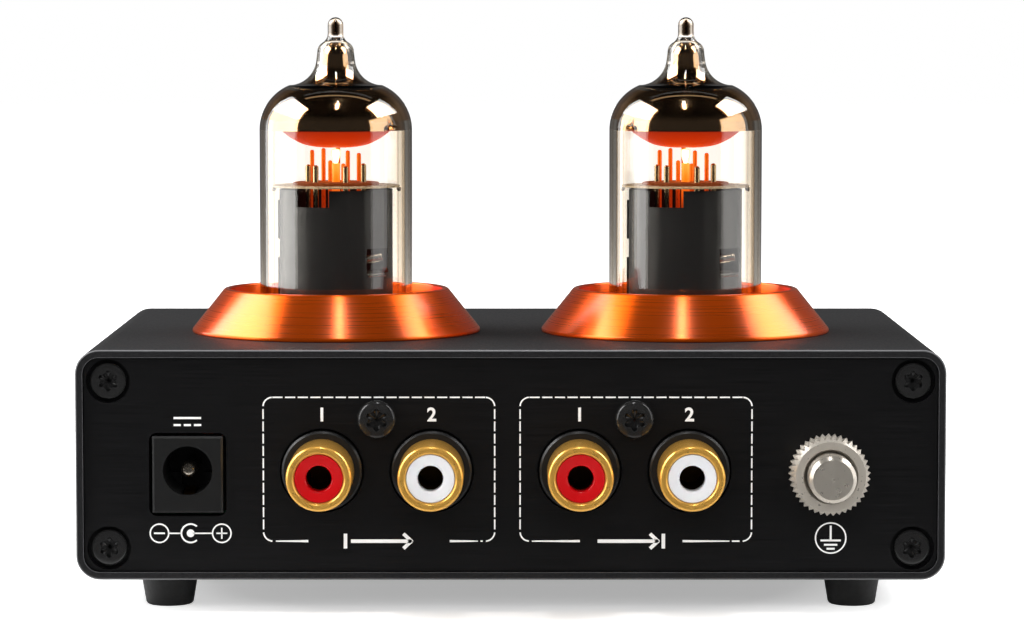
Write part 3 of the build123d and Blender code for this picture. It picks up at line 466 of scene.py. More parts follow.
def rgba(linear):
    """A linear colour with full opacity."""
    return (*linear, 1.0)


def lighter(linear, share):
    """A colour scaled in linear light."""
    return rgba([min(1.0, part * share) for part in linear])


def axes(tree, system="Object"):
    """The X, Y and Z of a point, each as a socket."""
    coords = add_node(tree, "TexCoord")
    return add_node(tree, "SeparateXYZ", {0: coords.outputs[system]}).outputs


def with_stops(ramp, stops):
    """The colour of a ramp node that has been given stops of position and sRGB hex."""
    elements = ramp.color_ramp.elements
    while len(elements) < len(stops):
        elements.new(0.5)
    for element, (position, code) in zip(elements, stops):
        element.position = position
        element.color = rgba(srgb(code))
    return ramp.outputs[0]


def finish(
    name, tone, inputs, grain_mm, roughness, shades=None, detail=2.0, bump_mm=0.0, bump_strength=1.0
):
    """A material that a fine noise varies: its roughness, and where asked its colour and height.

    tone is sRGB hex or linear, and inputs are the other sockets. grain_mm is the size of a grain, alike
    all ways or along X, Y and Z. roughness and shades, which scale the colour, go with the noise's ends.
    """
    tone = srgb(tone) if isinstance(tone, str) else tone
    material = new_material(name, {"Base Color": rgba(tone), **inputs})
    tree, shader = shading(material)
    steps = grain_mm if isinstance(grain_mm, tuple) else (grain_mm,) * 3
    coords = add_node(tree, "TexCoord")
    scaled = add_node(
        tree, "Mapping", {"Vector": coords.outputs["Object"], "Scale": [1 / (step * MM) for step in steps]}
    )
    noise = add_node(
        tree, "TexNoise", {"Vector": scaled.outputs[0], "Scale": 1.0, "Detail": detail}
    ).outputs[0]
    spread = add_node(
        tree, "MapRange",
        {
            "Value": noise, "From Min": NOISE_LOW, "From Max": NOISE_HIGH,
            "To Min": roughness[0], "To Max": roughness[1],
        },
    )
    tree.links.new(spread.outputs[0], shader.inputs["Roughness"])
    if shades:
        low, high = (lighter(tone, share) for share in shades)
        mix = add_node(tree, "Mix", {0: noise, 6: low, 7: high}, data_type="RGBA")
        tree.links.new(mix.outputs[2], shader.inputs["Base Color"])
    if bump_mm:
        bump = add_node(
            tree, "Bump", {"Height": noise, "Distance": bump_mm * MM, "Strength": bump_strength}
        )
        tree.links.new(bump.outputs[0], shader.inputs["Normal"])
    return material


def plain_finish(name, code, roughness, metallic=0.0):
    """A finish for pieces inside the case: its colour with a fine variation."""
    return finish(
        name, code, {"Metallic": metallic}, grain_mm=0.3,
        roughness=(roughness * 0.9, roughness * 1.1), shades=(0.9, 1.1),
    )


def base_colour(shader):
    """What feeds a shader's base colour: a socket, or a plain value."""
    under = shader.inputs["Base Color"]
    return under.links[0].from_socket if under.links else tuple(under.default_value)


def rub(material, share, tone):
    """Paints a highlight: a paler tone mixed into a finish's colour by a share."""
    tree, shader = shading(material)
    mix = add_node(tree, "Mix", {0: share, 6: base_colour(shader), 7: rgba(srgb(tone))}, data_type="RGBA")
    tree.links.new(mix.outputs[2], shader.inputs["Base Color"])


def worn_edges(material, radius_mm, tone):
    """Paints a highlight: a thin paler line along the sharp edges, where an eased edge would catch the
    light.
    """
    tree = material.node_tree
    eased = add_node(tree, "Bevel", {"Radius": radius_mm * MM}, samples=8)
    surface = add_node(tree, "NewGeometry")
    along = add_node(
        tree, "VectorMath", {0: eased.outputs[0], 1: surface.outputs["Normal"]}, operation="DOT_PRODUCT"
    )
    edge = add_node(
        tree, "MapRange", {"Value": along.outputs["Value"], "From Min": EDGE_STARTS, "From Max": EDGE_FULL}
    )
    rub(material, edge.outputs[0], tone)


def rubbed_fillets(material, tone):
    """Paints a highlight: a paler line along the eased edges between a profile's walls and its ends along Y,
    where they would catch the light.
    """
    tree = material.node_tree
    surface = add_node(tree, "NewGeometry")
    split = add_node(tree, "SeparateXYZ", {0: surface.outputs["Normal"]})
    slope = add_node(tree, "Math", {0: split.outputs["Y"]}, operation="ABSOLUTE")
    off = add_node(tree, "Math", {0: slope.outputs[0], 1: FILLET_SLOPE}, operation="SUBTRACT")
    gap = add_node(tree, "Math", {0: off.outputs[0]}, operation="ABSOLUTE")
    edge = add_node(
        tree, "MapRange", {"Value": gap.outputs[0], "From Min": FILLET_STARTS, "From Max": FILLET_FULL}
    )
    rub(material, edge.outputs[0], tone)


def darkened_hollows(material, reach_mm):
    """Paints shade into recesses: colour and gloss fade to black where the surroundings close in."""
    tree, shader = shading(material)
    open_air = add_node(tree, "AmbientOcclusion", {"Distance": reach_mm * MM}, samples=8, only_local=True)
    level = add_node(
        tree, "MapRange",
        {"Value": open_air.outputs["AO"], "From Min": HOLLOW_DARK, "From Max": HOLLOW_CLEAR},
    ).outputs[0]
    mix = add_node(tree, "Mix", {0: level, 6: (0, 0, 0, 1), 7: base_colour(shader)}, data_type="RGBA")
    tree.links.new(mix.outputs[2], shader.inputs["Base Color"])
    gloss = add_node(tree, "Math", {0: level, 1: 0.5}, operation="MULTIPLY")
    tree.links.new(gloss.outputs[0], shader.inputs["Specular IOR Level"])


def glossier_rims(material, share):
    """Scales the roughness on the two cut ends of the case."""
    tree, shader = shading(material)
    depth = add_node(tree, "Math", {0: axes(tree)["Y"], 1: CASE_MIDDLE.y}, operation="SUBTRACT")
    from_middle = add_node(tree, "Math", {0: depth.outputs[0]}, operation="ABSOLUTE")
    end = CASE_HIGH.y - CASE_MIDDLE.y
    cut = add_node(
        tree, "MapRange",
        {
            "Value": from_middle.outputs[0], "From Min": end - CUT_STARTS * MM,
            "From Max": end - CUT_FULL * MM, "To Min": 1.0, "To Max": share,
        },
    )
    blasted = shader.inputs["Roughness"].links[0].from_socket
    both = add_node(tree, "Math", {0: blasted, 1: cut.outputs[0]}, operation="MULTIPLY")
    tree.links.new(both.outputs[0], shader.inputs["Roughness"])


def turned_about(material, axis):
    """Draws the highlights out across the rings that a tool has left round an axis."""
    tree, shader = shading(material)
    tangent = add_node(tree, "Tangent", direction_type="RADIAL", axis=axis)
    tree.links.new(tangent.outputs[0], shader.inputs["Tangent"])
    shader.inputs["Anisotropic Rotation"].default_value = 0.25
    return material


def heated(material, stops, reach_mm, strength):
    """Adds a painted glow: heat colours as emission that fall off with the distance from the white-hot bead
    of the nearer tube.
    """
    tree, shader = shading(material)
    x, y, z = axes(tree)
    mirrored = add_node(tree, "Math", {0: x}, operation="ABSOLUTE")
    place = add_node(tree, "CombineXYZ", {0: mirrored.outputs[0], 1: y, 2: z})
    bead = tube_seat("right").translation + Vector((0, 0, BEAD_HEIGHT * MM))
    away = add_node(tree, "VectorMath", {0: place.outputs[0], 1: bead}, operation="DISTANCE")
    share = add_node(tree, "Math", {0: away.outputs["Value"], 1: 1 / (reach_mm * MM)}, operation="MULTIPLY")
    ramp = add_node(tree, "ValToRGB", {"Fac": share.outputs[0]})
    tree.links.new(with_stops(ramp, stops), shader.inputs["Emission Color"])
    shader.inputs["Emission Strength"].default_value = strength
    return material


# ---------------------------------------------------------------- materials
def blasted_black_aluminium(looks):
    """Extruded aluminium, blasted and anodised black: charcoal with a fine tooth, glossier rims, and painted
    highlights along its edges and fillets.
    """
    # the blast's pits are under 0.1 mm across, too fine to show, and are drawn three times as coarse
    material = finish(
        "blasted_black_anodised_aluminium", looks.case_colour, {"IOR": 1.5, "Specular IOR Level": 0.25},
        grain_mm=0.3, roughness=(0.5, 0.64), shades=(0.6, 1.5), detail=3.0, bump_mm=0.04, bump_strength=0.5,
    )
    glossier_rims(material, 0.4)
    # painted highlights: paler lines along the sharp edges and along the eased fillets, where light would
    # catch them
    worn_edges(material, 0.16, "#5c5c5e")
    rubbed_fillets(material, "#757577")
    return material


def brushed_black_aluminium(looks):
    """Aluminium sheet brushed along its length and anodised black: faint long scratches in a satin black."""
    # a real scratch is about 0.03 mm wide, and is drawn four times as wide so that it shows
    return finish(
        "brushed_black_anodised_aluminium", looks.panel_colour, {"IOR": 1.5, "Specular IOR Level": 0.2},
        grain_mm=(9.0, 9.0, 0.13), roughness=(0.34, 0.56), shades=(0.3, 1.9), detail=3.0,
        bump_mm=0.02, bump_strength=0.8,
    )


def black_oxide_steel(looks):
    """Steel screws in glossy black oxide: near-black with small sharp highlights, and painted shade that
    darkens their recesses.
    """
    material = finish(
        "black_oxide_steel", looks.screw_colour, {"IOR": 1.5}, grain_mm=0.5, roughness=(0.16, 0.22)
    )
    darkened_hollows(material, 0.7)
    return material


def moulded_black_nylon(looks):
    """Injection-moulded black nylon: soft sheen with a faint orange peel."""
    return finish(
        "moulded_black_nylon", looks.nylon_colour, {"IOR": 1.5}, grain_mm=0.25, roughness=(0.3, 0.42),
        bump_mm=0.006, bump_strength=0.4,
    )


def black_rubber():
    """Moulded black rubber for the feet: matt, a little grey where it is rubbed."""
    return finish(
        "moulded_black_rubber", "#0c0c0c", {"IOR": 1.52}, grain_mm=0.6, roughness=(0.48, 0.62),
        shades=(0.8, 1.3), bump_mm=0.01, bump_strength=0.4,
    )


def gold_plated_brass(looks):
    """Gold plating over turned brass: warm yellow mirror, slightly softened by turning marks."""
    return finish(
        "gold_plated_brass", looks.gold_colour,
        {"Metallic": 0.74, "Coat Weight": 0.35, "Coat Roughness": 0.06},
        grain_mm=(1.2, 0.05, 1.2), roughness=(0.27, 0.3),
    )


def moulded_abs(name, tone):
    """Glossy moulded ABS liner of a phono jack."""
    return finish(
        f"moulded_abs_{name}", tone, {"IOR": 1.53, "Subsurface Weight": 0.08, "Subsurface Scale": 0.0006},
        grain_mm=0.7, roughness=(0.14, 0.2), shades=(0.97, 1.03),
    )


def contact_brass():
    """Stamped brass contacts: yellow-brown, darkened as painted shade for the depth of a socket."""
    return finish("stamped_brass_painted_shade", "#6a4c20", {"Metallic": 1.0}, grain_mm=0.3, roughness=(0.28, 0.45))


def nickel_plated_brass(looks):
    """Nickel plating over turned brass: warm white metal with fine turning marks."""
    return finish(
        "nickel_plated_brass", looks.nickel_colour, {"Metallic": 0.6},
        grain_mm=(0.5, 0.1, 0.5), roughness=(0.27, 0.31), shades=(0.97, 1.03),
    )


def turned_nickel(looks):
    """Nickel over turned brass: the tool's rings draw the light out in rays."""
    return turned_about(finish(
        "turned_nickel_plate", looks.nickel_colour, {"Metallic": 0.8, "Anisotropic": 0.85},
        grain_mm=0.8, roughness=(0.27, 0.31), shades=(0.95, 1.03),
    ), "Y")


def orange_anodised_aluminium(looks):
    """Turned aluminium anodised orange: silky bands of light that run up the cone, fine rings round it."""
    return turned_about(finish(
        "turned_orange_anodised_aluminium", looks.ring_colour,
        {
            "Metallic": 0.85, "Anisotropic": 0.9, "Specular Tint": (1.0, 0.3, 0.02, 1.0),
            "Coat Weight": 0.75, "Coat Roughness": 0.2, "Coat IOR": 1.4,
        },
        grain_mm=(40.0, 40.0, 0.07), roughness=(0.26, 0.33), shades=(0.86, 1.1), detail=3.0,
    ), "Z")


def turned_black_aluminium():
    """Turned and black-anodised knob: satin, with rings round its axis."""
    return turned_about(finish(
        "turned_black_anodised_aluminium", "#1a1a1b", {"Metallic": 0.5, "Anisotropic": 0.7},
        grain_mm=0.2, roughness=(0.3, 0.42), shades=(0.8, 1.3),
    ), "Y")


def screen_ink(looks):
    """White silk-screen ink: flat, slightly uneven where the mesh has left it."""
    return finish(
        "white_screen_ink", looks.ink_colour, {"IOR": 1.45}, grain_mm=0.08, roughness=(0.5, 0.6),
        shades=(0.9, 1.0),
    )


def clear_glass():
    """Soda-lime tube glass: clear, with painted warm reflections and dark lines where it is looked at edge
    on.
    """
    material = new_material(
        "drawn_soda_lime_glass", {"Roughness": 0.0, "IOR": 1.5, "Transmission Weight": 1.0}
    )
    tree, shader = shading(material)
    edge = add_node(tree, "LayerWeight", {"Blend": 0.5}).outputs["Facing"]
    wall, solid = (
        with_stops(add_node(tree, "ValToRGB", {"Fac": edge}), painted_stops) for painted_stops in (WALL_PAINTED_REFLECTIONS, SOLID_PAINTED_REFLECTIONS)
    )
    neck = tube_seat("left").translation.z + NECK_HEIGHT * MM
    upper = add_node(
        tree, "MapRange", {"Value": axes(tree)["Z"], "From Min": neck, "From Max": neck + NECK_BLEND * MM}
    )
    painted_reflection = add_node(tree, "Mix", {0: upper.outputs[0], 6: wall, 7: solid}, data_type="RGBA")
    tree.links.new(painted_reflection.outputs[2], shader.inputs["Base Color"])
    clear = add_node(tree, "BsdfTransparent", {"Color": (0.96, 0.95, 0.93, 1.0)})
    path = add_node(tree, "LightPath")
    through = add_node(
        tree, "MixShader", {0: path.outputs["Is Shadow Ray"], 1: shader.outputs[0], 2: clear.outputs[0]}
    )
    tree.links.new(through.outputs[0], tree.nodes["Material Output"].inputs["Surface"])
    return material


def smoky_mirror(looks):
    """The metal film that the getter leaves inside the dome: a dark brown mirror."""
    return finish("getter_film", looks.film_colour, {"Metallic": 1.0}, grain_mm=3.0, roughness=(0.04, 0.07))


def carbonised_steel(looks):
    """Carbonised steel of the anodes: matt charcoal with a soft sheen."""
    # soot is far finer than 0.2 mm, and is drawn that coarse so that it shows
    return finish(
        "carbonised_steel", looks.anode_colour, {"IOR": 1.5}, grain_mm=0.2, roughness=(0.33, 0.37),
        shades=(0.92, 1.08),
    )


def mica_sheet():
    """Split mica: a pale flake that lets warm light through."""
    return finish(
        "split_mica", "#a89678", {"IOR": 1.58, "Transmission Weight": 0.15}, grain_mm=1.0,
        roughness=(0.2, 0.35), shades=(0.8, 1.1),
    )


def warm_spacer():
    """Scorched spacer under the electrodes: brown, with a painted orange glow for the light of the heater
    above it.
    """
    return heated(finish(
        "scorched_spacer_painted_glow", "#5c2e10", {"Specular IOR Level": 0.1}, grain_mm=0.5, roughness=(0.6, 0.85),
        bump_mm=0.15,
    ), ((0.0, "#ffb030"), (0.35, "#f26a10"), (0.6, "#8a3408"), (1.0, "#2a0e04")), 8.0, 0.8)


def support_brass():
    """Drawn brass support posts, darkened by heat."""
    return finish(
        "drawn_brass", "#b8a27c", {"Metallic": 1.0}, grain_mm=(0.1, 0.1, 1.0), roughness=(0.16, 0.28)
    )


def heated_wire():
    """Grid posts: red-orange metal, with a painted glow for the heater's light."""
    return heated(finish(
        "grid_posts_painted_glow", "#d86a20", {"Metallic": 0.9}, grain_mm=(0.1, 0.1, 0.6), roughness=(0.25, 0.4)
    ), ((0.0, "#ffc040"), (0.4, "#ff7a14"), (0.8, "#e84a08"), (1.0, "#b83204")), 6.5, 0.5)


def heated_cathode():
    """Nickel cathode sleeve at work: orange to yellow, partly its own heat glow and partly painted light of
    the heater's bead.
    """
    return heated(finish(
        "heated_cathode", "#b05a18", {"Metallic": 0.5}, grain_mm=(0.1, 0.1, 0.6), roughness=(0.25, 0.4)
    ), ((0.0, "#ffd860"), (0.45, "#ff8a18"), (0.8, "#f05a0a"), (1.0, "#a83406")), 7.0, 1.0)


def heated_dish():
    """The getter dish over the heater: a painted glow of the bead's light, yellow at the bead, red-orange
    further out, brown at its rim.
    """
    return heated(finish(
        "getter_dish_painted_glow", "#3a1408", {"Specular IOR Level": 0.06}, grain_mm=0.6, roughness=(0.4, 0.55)
    ), (
        (0.0, "#ffe27a"), (0.14, "#ff9a1a"), (0.3, "#f65206"), (0.55, "#d83404"), (0.8, "#b42804"),
        (1.0, "#5c1804"),
    ), 9.5, 1.0)


def white_hot():
    """The tip of the heater: white-hot in the middle, orange towards its outline."""
    material = new_material("white_hot_heater", {"Base Color": (1, 0.9, 0.7, 1), "Roughness": 0.5})
    tree, shader = shading(material)
    edge = add_node(tree, "LayerWeight", {"Blend": 0.5})
    ramp = add_node(tree, "ValToRGB", {"Fac": edge.outputs["Facing"]})
    stops = ((0.0, "#ffffff"), (0.3, "#fff6d0"), (0.55, "#ffc23c"), (0.8, "#ff8a10"), (1.0, "#f05a04"))
    tree.links.new(with_stops(ramp, stops), shader.inputs["Emission Color"])
    shader.inputs["Emission Strength"].default_value = 2.0
    return material


def tinned_wire():
    """Nickel wire and pins: bright, slightly warm metal."""
    return finish(
        "nickel_wire", "#d0c6b8", {"Metallic": 1.0}, grain_mm=(0.1, 0.1, 0.6), roughness=(0.18, 0.3)
    )


def chrome_plate():
    """Chrome-plated switch: a clean bright mirror with faint haze."""
    return finish("chrome_plate", "#dcdde0", {"Metallic": 1.0}, grain_mm=0.4, roughness=(0.06, 0.14))


def amber_lens():
    """Diffused amber epoxy lens, lit from inside."""
    return finish(
        "amber_epoxy_lens", "#f08a2a",
        {"Emission Color": rgba(srgb("#ff7a1a")), "Emission Strength": 0.6, "IOR": 1.54},
        grain_mm=0.4, roughness=(0.12, 0.2), shades=(0.9, 1.1),
    )


# ---------------------------------------------------------------- what a user can change
class PreampLooks(bpy.types.PropertyGroup):
    """Colours and sizes of the finished preamp."""

    case_colour: colour("Case", "Blasted black anodising of the case", "#1f1f20")
    panel_colour: colour("Panels", "Brushed black anodising of the end panels", "#0e0e0f")
    screw_colour: colour("Screws", "Black oxide of the screws", "#1e1e1e")
    nylon_colour: colour("Mouldings", "Black nylon of the jacks and the inlet", "#181818")
    gold_colour: colour("Gold", "Gold plating of the phono jacks", "#ffc25a")
    nickel_colour: colour("Nickel", "Nickel plating of the ground terminal", "#d6cec2")
    ring_colour: colour("Rings", "Orange anodising of the tube rings", "#ff6100")
    red_colour: colour("Red liner", "Liner of a right-channel jack", "#b8090f")
    white_colour: colour("White liner", "Liner of a left-channel jack", "#dadadc")
    ink_colour: colour("Ink", "Silk-screen ink", "#f4f4f2")
    film_colour: colour("Getter film", "Smoky mirror inside the dome of a tube", "#d2ab80")
    anode_colour: colour("Anodes", "Carbonised steel of the anodes", "#161617")
    ink_height: size("Ink height", "How far the ink stands on the panel", 0.02 * MM)
    stroke: size("Ink stroke", "Width of the thin printed lines", 0.18 * MM)


class StageLooks(bpy.types.PropertyGroup):
    """Camera, floor and lamps."""

    lens: number("Lens", "Focal length on a 36 mm sensor, in millimetres", 136.0)
    camera_distance: size("Camera distance", "From the rear panel's plane to the camera", 0.490)
    camera_height: size("Camera height", "Height of the camera over the floor", 0.0754)
    camera_pitch: bpy.props.FloatProperty(
        name="Camera pitch", description="How far the camera looks down",
        default=radians(4.365), unit="ROTATION",
    )
    camera_x: size("Camera offset", "How far right of the object's middle the camera stands", 0.00017)
    floor_colour: colour("Floor", "Pale floor", "#f7f7f7")
    floor_size: size("Floor size", "Length of the square floor's side", 6.0)
    left_radiance: number("Left softbox", "Brightness of the lower softbox on the left", 3.6)
    left_top_radiance: number("Left softbox, top", "Brightness of the upper one", 8.5)
    right_radiance: number("Right softbox", "Brightness of the lower softbox on the right", 1.7)
    right_top_radiance: number("Right softbox, top", "Brightness of the upper one", 7.5)
    strip_radiance: number("Strip", "Brightness of the narrow lamp overhead", 30.0)
    edge_radiance: number("Edge strip", "Brightness of the long thin lamp over the case's top", 0.5)
    fill_radiance: number("Fill", "Brightness of the wide lamp in front", 3.4)
    shine_behind: number("Shine behind", "Brightness of the surroundings behind, in reflections", 0.12)
    shine_in_front: number("Shine in front", "The same in front, where the room is dark", 0.03)
    ambient: number("Ambient", "Brightness of the surroundings as they light matt surfaces", 0.15)


# ---------------------------------------------------------------- shapes
def quarter(radius, height, rounding):
    """Ring corners of a rounded outer edge that ends at this radius and height."""
    steps = 5
    turns = [pi / 2 * step / steps for step in range(steps + 1)]
    return [(radius - rounding * (1 - cos(turn)), height - rounding * (1 - sin(turn)), 0) for turn in turns]


def screw(head_radius, head_low, head_top, rounding, recess):
    """A button-head screw along Z with a six-lobed recess, its shank pointing down."""
    tip = head_low - SCREW_LENGTH
    return lobed([
        (SHANK_RADIUS - 0.3, tip, 0), (SHANK_RADIUS, tip + 0.3, 0), (SHANK_RADIUS, head_low, 0),
        (head_radius, head_low, 0), *quarter(head_radius, head_top - 0.04, rounding),
        (recess + 0.4, head_top, 0), (recess + 0.05, head_top, LOBE_DEPTH),
        (recess, head_top - 0.06, LOBE_DEPTH), (recess - 0.06, head_top - 0.45, LOBE_DEPTH),
        (recess * 0.75, head_top - 0.6, LOBE_DEPTH / 2), (0.05, head_top - RECESS_DEPTH, 0),
    ])


def phono_shell(high, low, collar):
    """Outer contact of a phono jack: a stepped tube with a full round lip."""
    lip = (SHELL_RADIUS - LINER_RADIUS) / 2
    return turned([
        (SHELL_INNER_RADIUS, low, 0.1), (SHELL_TAIL_RADIUS, low, 0.1), (SHELL_TAIL_RADIUS, collar, 0),
        (SHELL_RADIUS, collar, 0.08), (SHELL_RADIUS, high, lip * 0.98), (LINER_RADIUS, high, lip * 0.98),
        (LINER_RADIUS, high - 1.4, 0.1), (SHELL_INNER_RADIUS, high - 1.4, 0),
    ], steps=128, ring=True)


def phono_liner(face, low):
    """Coloured liner with a slightly dished face and an eased hole."""
    outer, nose = SHELL_INNER_RADIUS - 0.05, LINER_RADIUS - 0.03
    shoulder = face - 1.0
    return turned([
        (PLUG_PIN_RADIUS + 0.45, low, 0), (outer, low, 0), (outer, shoulder, 0), (nose, shoulder, 0),
        (nose, face, 0.12), (nose - 0.5, face - 0.06, 0.4), (PLUG_PIN_RADIUS, face - 0.2, 0.28),
        (PLUG_PIN_RADIUS, face - 2.2, 0), (PLUG_PIN_RADIUS + 0.45, face - 2.2, 0),
    ], steps=128, ring=True)


def terminal_post(reach):
    """Turned post with a bevelled end, on which the tool has left fine rings."""
    face = reach - 0.04
    rings = []
    radius = POST_RADIUS - POST_BEVEL - 0.06
    while radius > GROOVE_PITCH:
        rings += [(radius, face, 0), (radius - GROOVE_PITCH / 2, face - GROOVE_DEPTH, 0)]
        radius -= GROOVE_PITCH
    return turned([
        (0, -7.5, 0), (2.0, -7.5, 0.3), (2.0, 0, 0), (4.4, 0, 0.1), (4.4, 1.0, 0.15), (POST_RADIUS, 1.0, 0),
        (POST_RADIUS, reach - POST_BEVEL, 0.12), (POST_RADIUS - POST_BEVEL, reach, 0.14), *rings,
        (0.06, face - 0.12, 0), (0, face - 0.12, 0),
    ], steps=128)


def cone_ring(height):
    """Conical collar: rounded foot and rim, a spigot down through the case, open in the middle."""
    return turned([
        (13.1, -1.6, 0.1), (13.9, -1.6, 0.1), (13.9, 0.02, 0), (RING_BASE_RADIUS - 0.1, 0.02, 0.12),
        (RING_BASE_RADIUS, 0.4, 0.22), (RING_TOP_RADIUS, height, 0.28),
        (RING_TOP_RADIUS - 0.65, height, 0.25), (RING_TOP_RADIUS - 0.75, height / 2, 0.6), (13.1, 0, 0.3),
    ], steps=192, ring=True)


def dome_film():
    """Metal film inside the glass from a sharp lower edge up into the neck, and the sealed tip's bore."""
    crown = (5.93, 39.24)
    shoulder = arc_through((9.31, 34.1), (7.83, 37.98), crown, 14)
    sweep_in = arc_through(crown, (2.7, 41.1), (1.98, 42.88), 12)
    tip = arc_through((1.86, 44.1), (1.3, 45.15), (0, 45.55), 8)
    outline = [(9.31, FILM_EDGE, 0), *shoulder, *sweep_in[1:], *tip]
    capillary = [(0, 47.0, 0), (0.17, 47.1, 0.05), (0.13, 48.6, 0.05), (0, 48.7, 0)]
    return joined([turned(outline, steps=160), turned(capillary, steps=24)])


def anode_sleeve():
    """Round anode with a notch and a window in its front, one pressed flat and a folded seam."""
    levels = (ANODE_LOW, WINDOW_LOW, WINDOW_HIGH, NOTCH_LOW, ANODE_HIGH)
    bm = bmesh.new()
    verts = [bm.verts.new((0, -ANODE_RADIUS * MM, level * MM)) for level in levels]
    for ends in zip(verts, verts[1:]):
        bm.edges.new(ends)
    spun(bm, 2 * pi, 160)
    cut = []
    for face in bm.faces:
        middle = face.calc_center_median() / MM
        if middle.y < 0:
            notch = NOTCH_LEFT < middle.x < NOTCH_RIGHT and middle.z > NOTCH_LOW
            window = WINDOW_LEFT < middle.x < WINDOW_RIGHT and WINDOW_LOW < middle.z < WINDOW_HIGH
            if notch or window:
                cut.append(face)
    bmesh.ops.delete(bm, geom=cut, context="FACES")
    flat_middle, flat_half = radians(FLAT_MIDDLE), radians(FLAT_HALF)
    for vert in bm.verts:
        angle = atan2(vert.co.x, -vert.co.y) - flat_middle
        if abs(angle) < flat_half:
            reach = ANODE_RADIUS * MM * cos(flat_half) / cos(angle)
            vert.co.x = reach * sin(angle + flat_middle)
            vert.co.y = -reach * cos(angle + flat_middle)
    bmesh.ops.recalc_face_normals(bm, faces=bm.faces)
    bmesh.ops.solidify(bm, geom=bm.faces[:], thickness=ANODE_WALL * MM)
    seams = [bm]
    for seam_low, seam_high in SEAM_RUNS:
        middle = at(-ANODE_RADIUS - ANODE_WALL / 2, 0, (seam_low + seam_high) / 2)
        seams.append(block(SEAM_WIDTH, SEAM_THICKNESS, seam_high - seam_low, middle))
    return joined(seams)


def pin_row(places, radius, tip_share):
    """Round-topped electrode wires at X, Y that stand this far above the upper mica."""
    low, wires = ELECTRODE_LOW, []
    for x, y, above in places:
        high = MICA_TOP + above
        corners = [(0, low, 0), (radius, low, 0), (radius, high, radius * tip_share), (0, high, 0)]
        wires.append(moved(turned(corners, steps=24), at(x, y)))
    return joined(wires)


def window_tab():
    """Bent lead and bright lip that show in the anode's window."""
    lead = turned([(0, 0, 0), (0.55, 0, 0.1), (0.55, 2.6, 0.1), (0, 2.6, 0)], steps=24)
    moved(lead, at(3.6, -5.2, 16.9) @ Matrix.Rotation(radians(80), 4, "Y"))
    turn = Matrix.Rotation(radians(40), 4, "Z") @ Matrix.Rotation(radians(24), 4, "X")
    return joined([lead, block(2.8, 1.6, 0.15, at(5.1, -5.15, 15.1) @ turn)])


def block(width, depth, height, place):
    """A box of this size in millimetres, moved to a place."""
    bm = bmesh.new()
    bmesh.ops.create_cube(bm, size=1)
    return moved(bm, place @ Matrix.Diagonal((width * MM, depth * MM, height * MM, 1)))


def disc_at(low, radius, thickness, *roundings):
    """A round plate whose lower face is at this height, with its edge's two roundings."""
    corners = [(radius, low, roundings[0]), (radius, low + thickness, roundings[-1])]
    return turned([(0, low, 0), *corners, (0, low + thickness, 0)])


def ball(x, y, z, radius, stretch):
    """A ball drawn out along Z, in millimetres."""
    bm = bmesh.new()
    bmesh.ops.create_uvsphere(bm, u_segments=24, v_segments=16, radius=radius * MM)
    return moved(bm, at(x, y, z) @ Matrix.Diagonal((1, 1, stretch, 1)))


# ---------------------------------------------------------------- operators
class PREAMP_OT_case(bpy.types.Operator):
    """Finish the case, its end panels, their screws and the feet"""

    bl_idname = "preamp.case"
    bl_label = "Case, Panels and Feet"

    def execute(self, context):
        looks = context.scene.preamp_looks
        dress(blasted_black_aluminium(looks), "case_shell")
        dress(brushed_black_aluminium(looks), "rear_panel", "front_panel")
        dress(black_rubber(), "feet")
        dress(plain_finish("zinc_plated_steel", "#8f8f8a", 0.35, 1.0), "foot_screws")
        self.screws(black_oxide_steel(looks))
        return {"FINISHED"}

    def screws(self, steel):
        """Eight screws in the panels' corners, and one between the jacks of each pair."""
        low, high, _ = node_box("panel_screws")
        radius = PANEL_SCREW_RADIUS * MM
        columns, rows = ((low[axis] + radius, high[axis] - radius) for axis in (0, 2))
        heads = [(x, z) for x in columns for z in rows]
        sunk = (REAR_FACE_Y - low.y) / MM
        shapes = [
            moved(screw(PANEL_SCREW_RADIUS, sunk - 1.1, sunk, 0.34, PANEL_RECESS), side(x, z))
            for side in (rear, front)
            for x, z in heads
        ]
        piece("panel_button_screws", joined(shapes), steel, "chassis", "screw_black", "panel_screws")
        low, high, middle = node_box("jack_screws")
        radius = JACK_SCREW_RADIUS * MM
        proud = (REAR_FACE_Y - low.y) / MM
        shapes = [
            moved(screw(JACK_SCREW_RADIUS, 0.02, proud, 0.75, JACK_RECESS), rear(x, middle.z))
            for x in (low.x + radius, high.x - radius)
        ]
        piece("jack_button_screws", joined(shapes), steel, "chassis", "screw_black", "jack_screws")


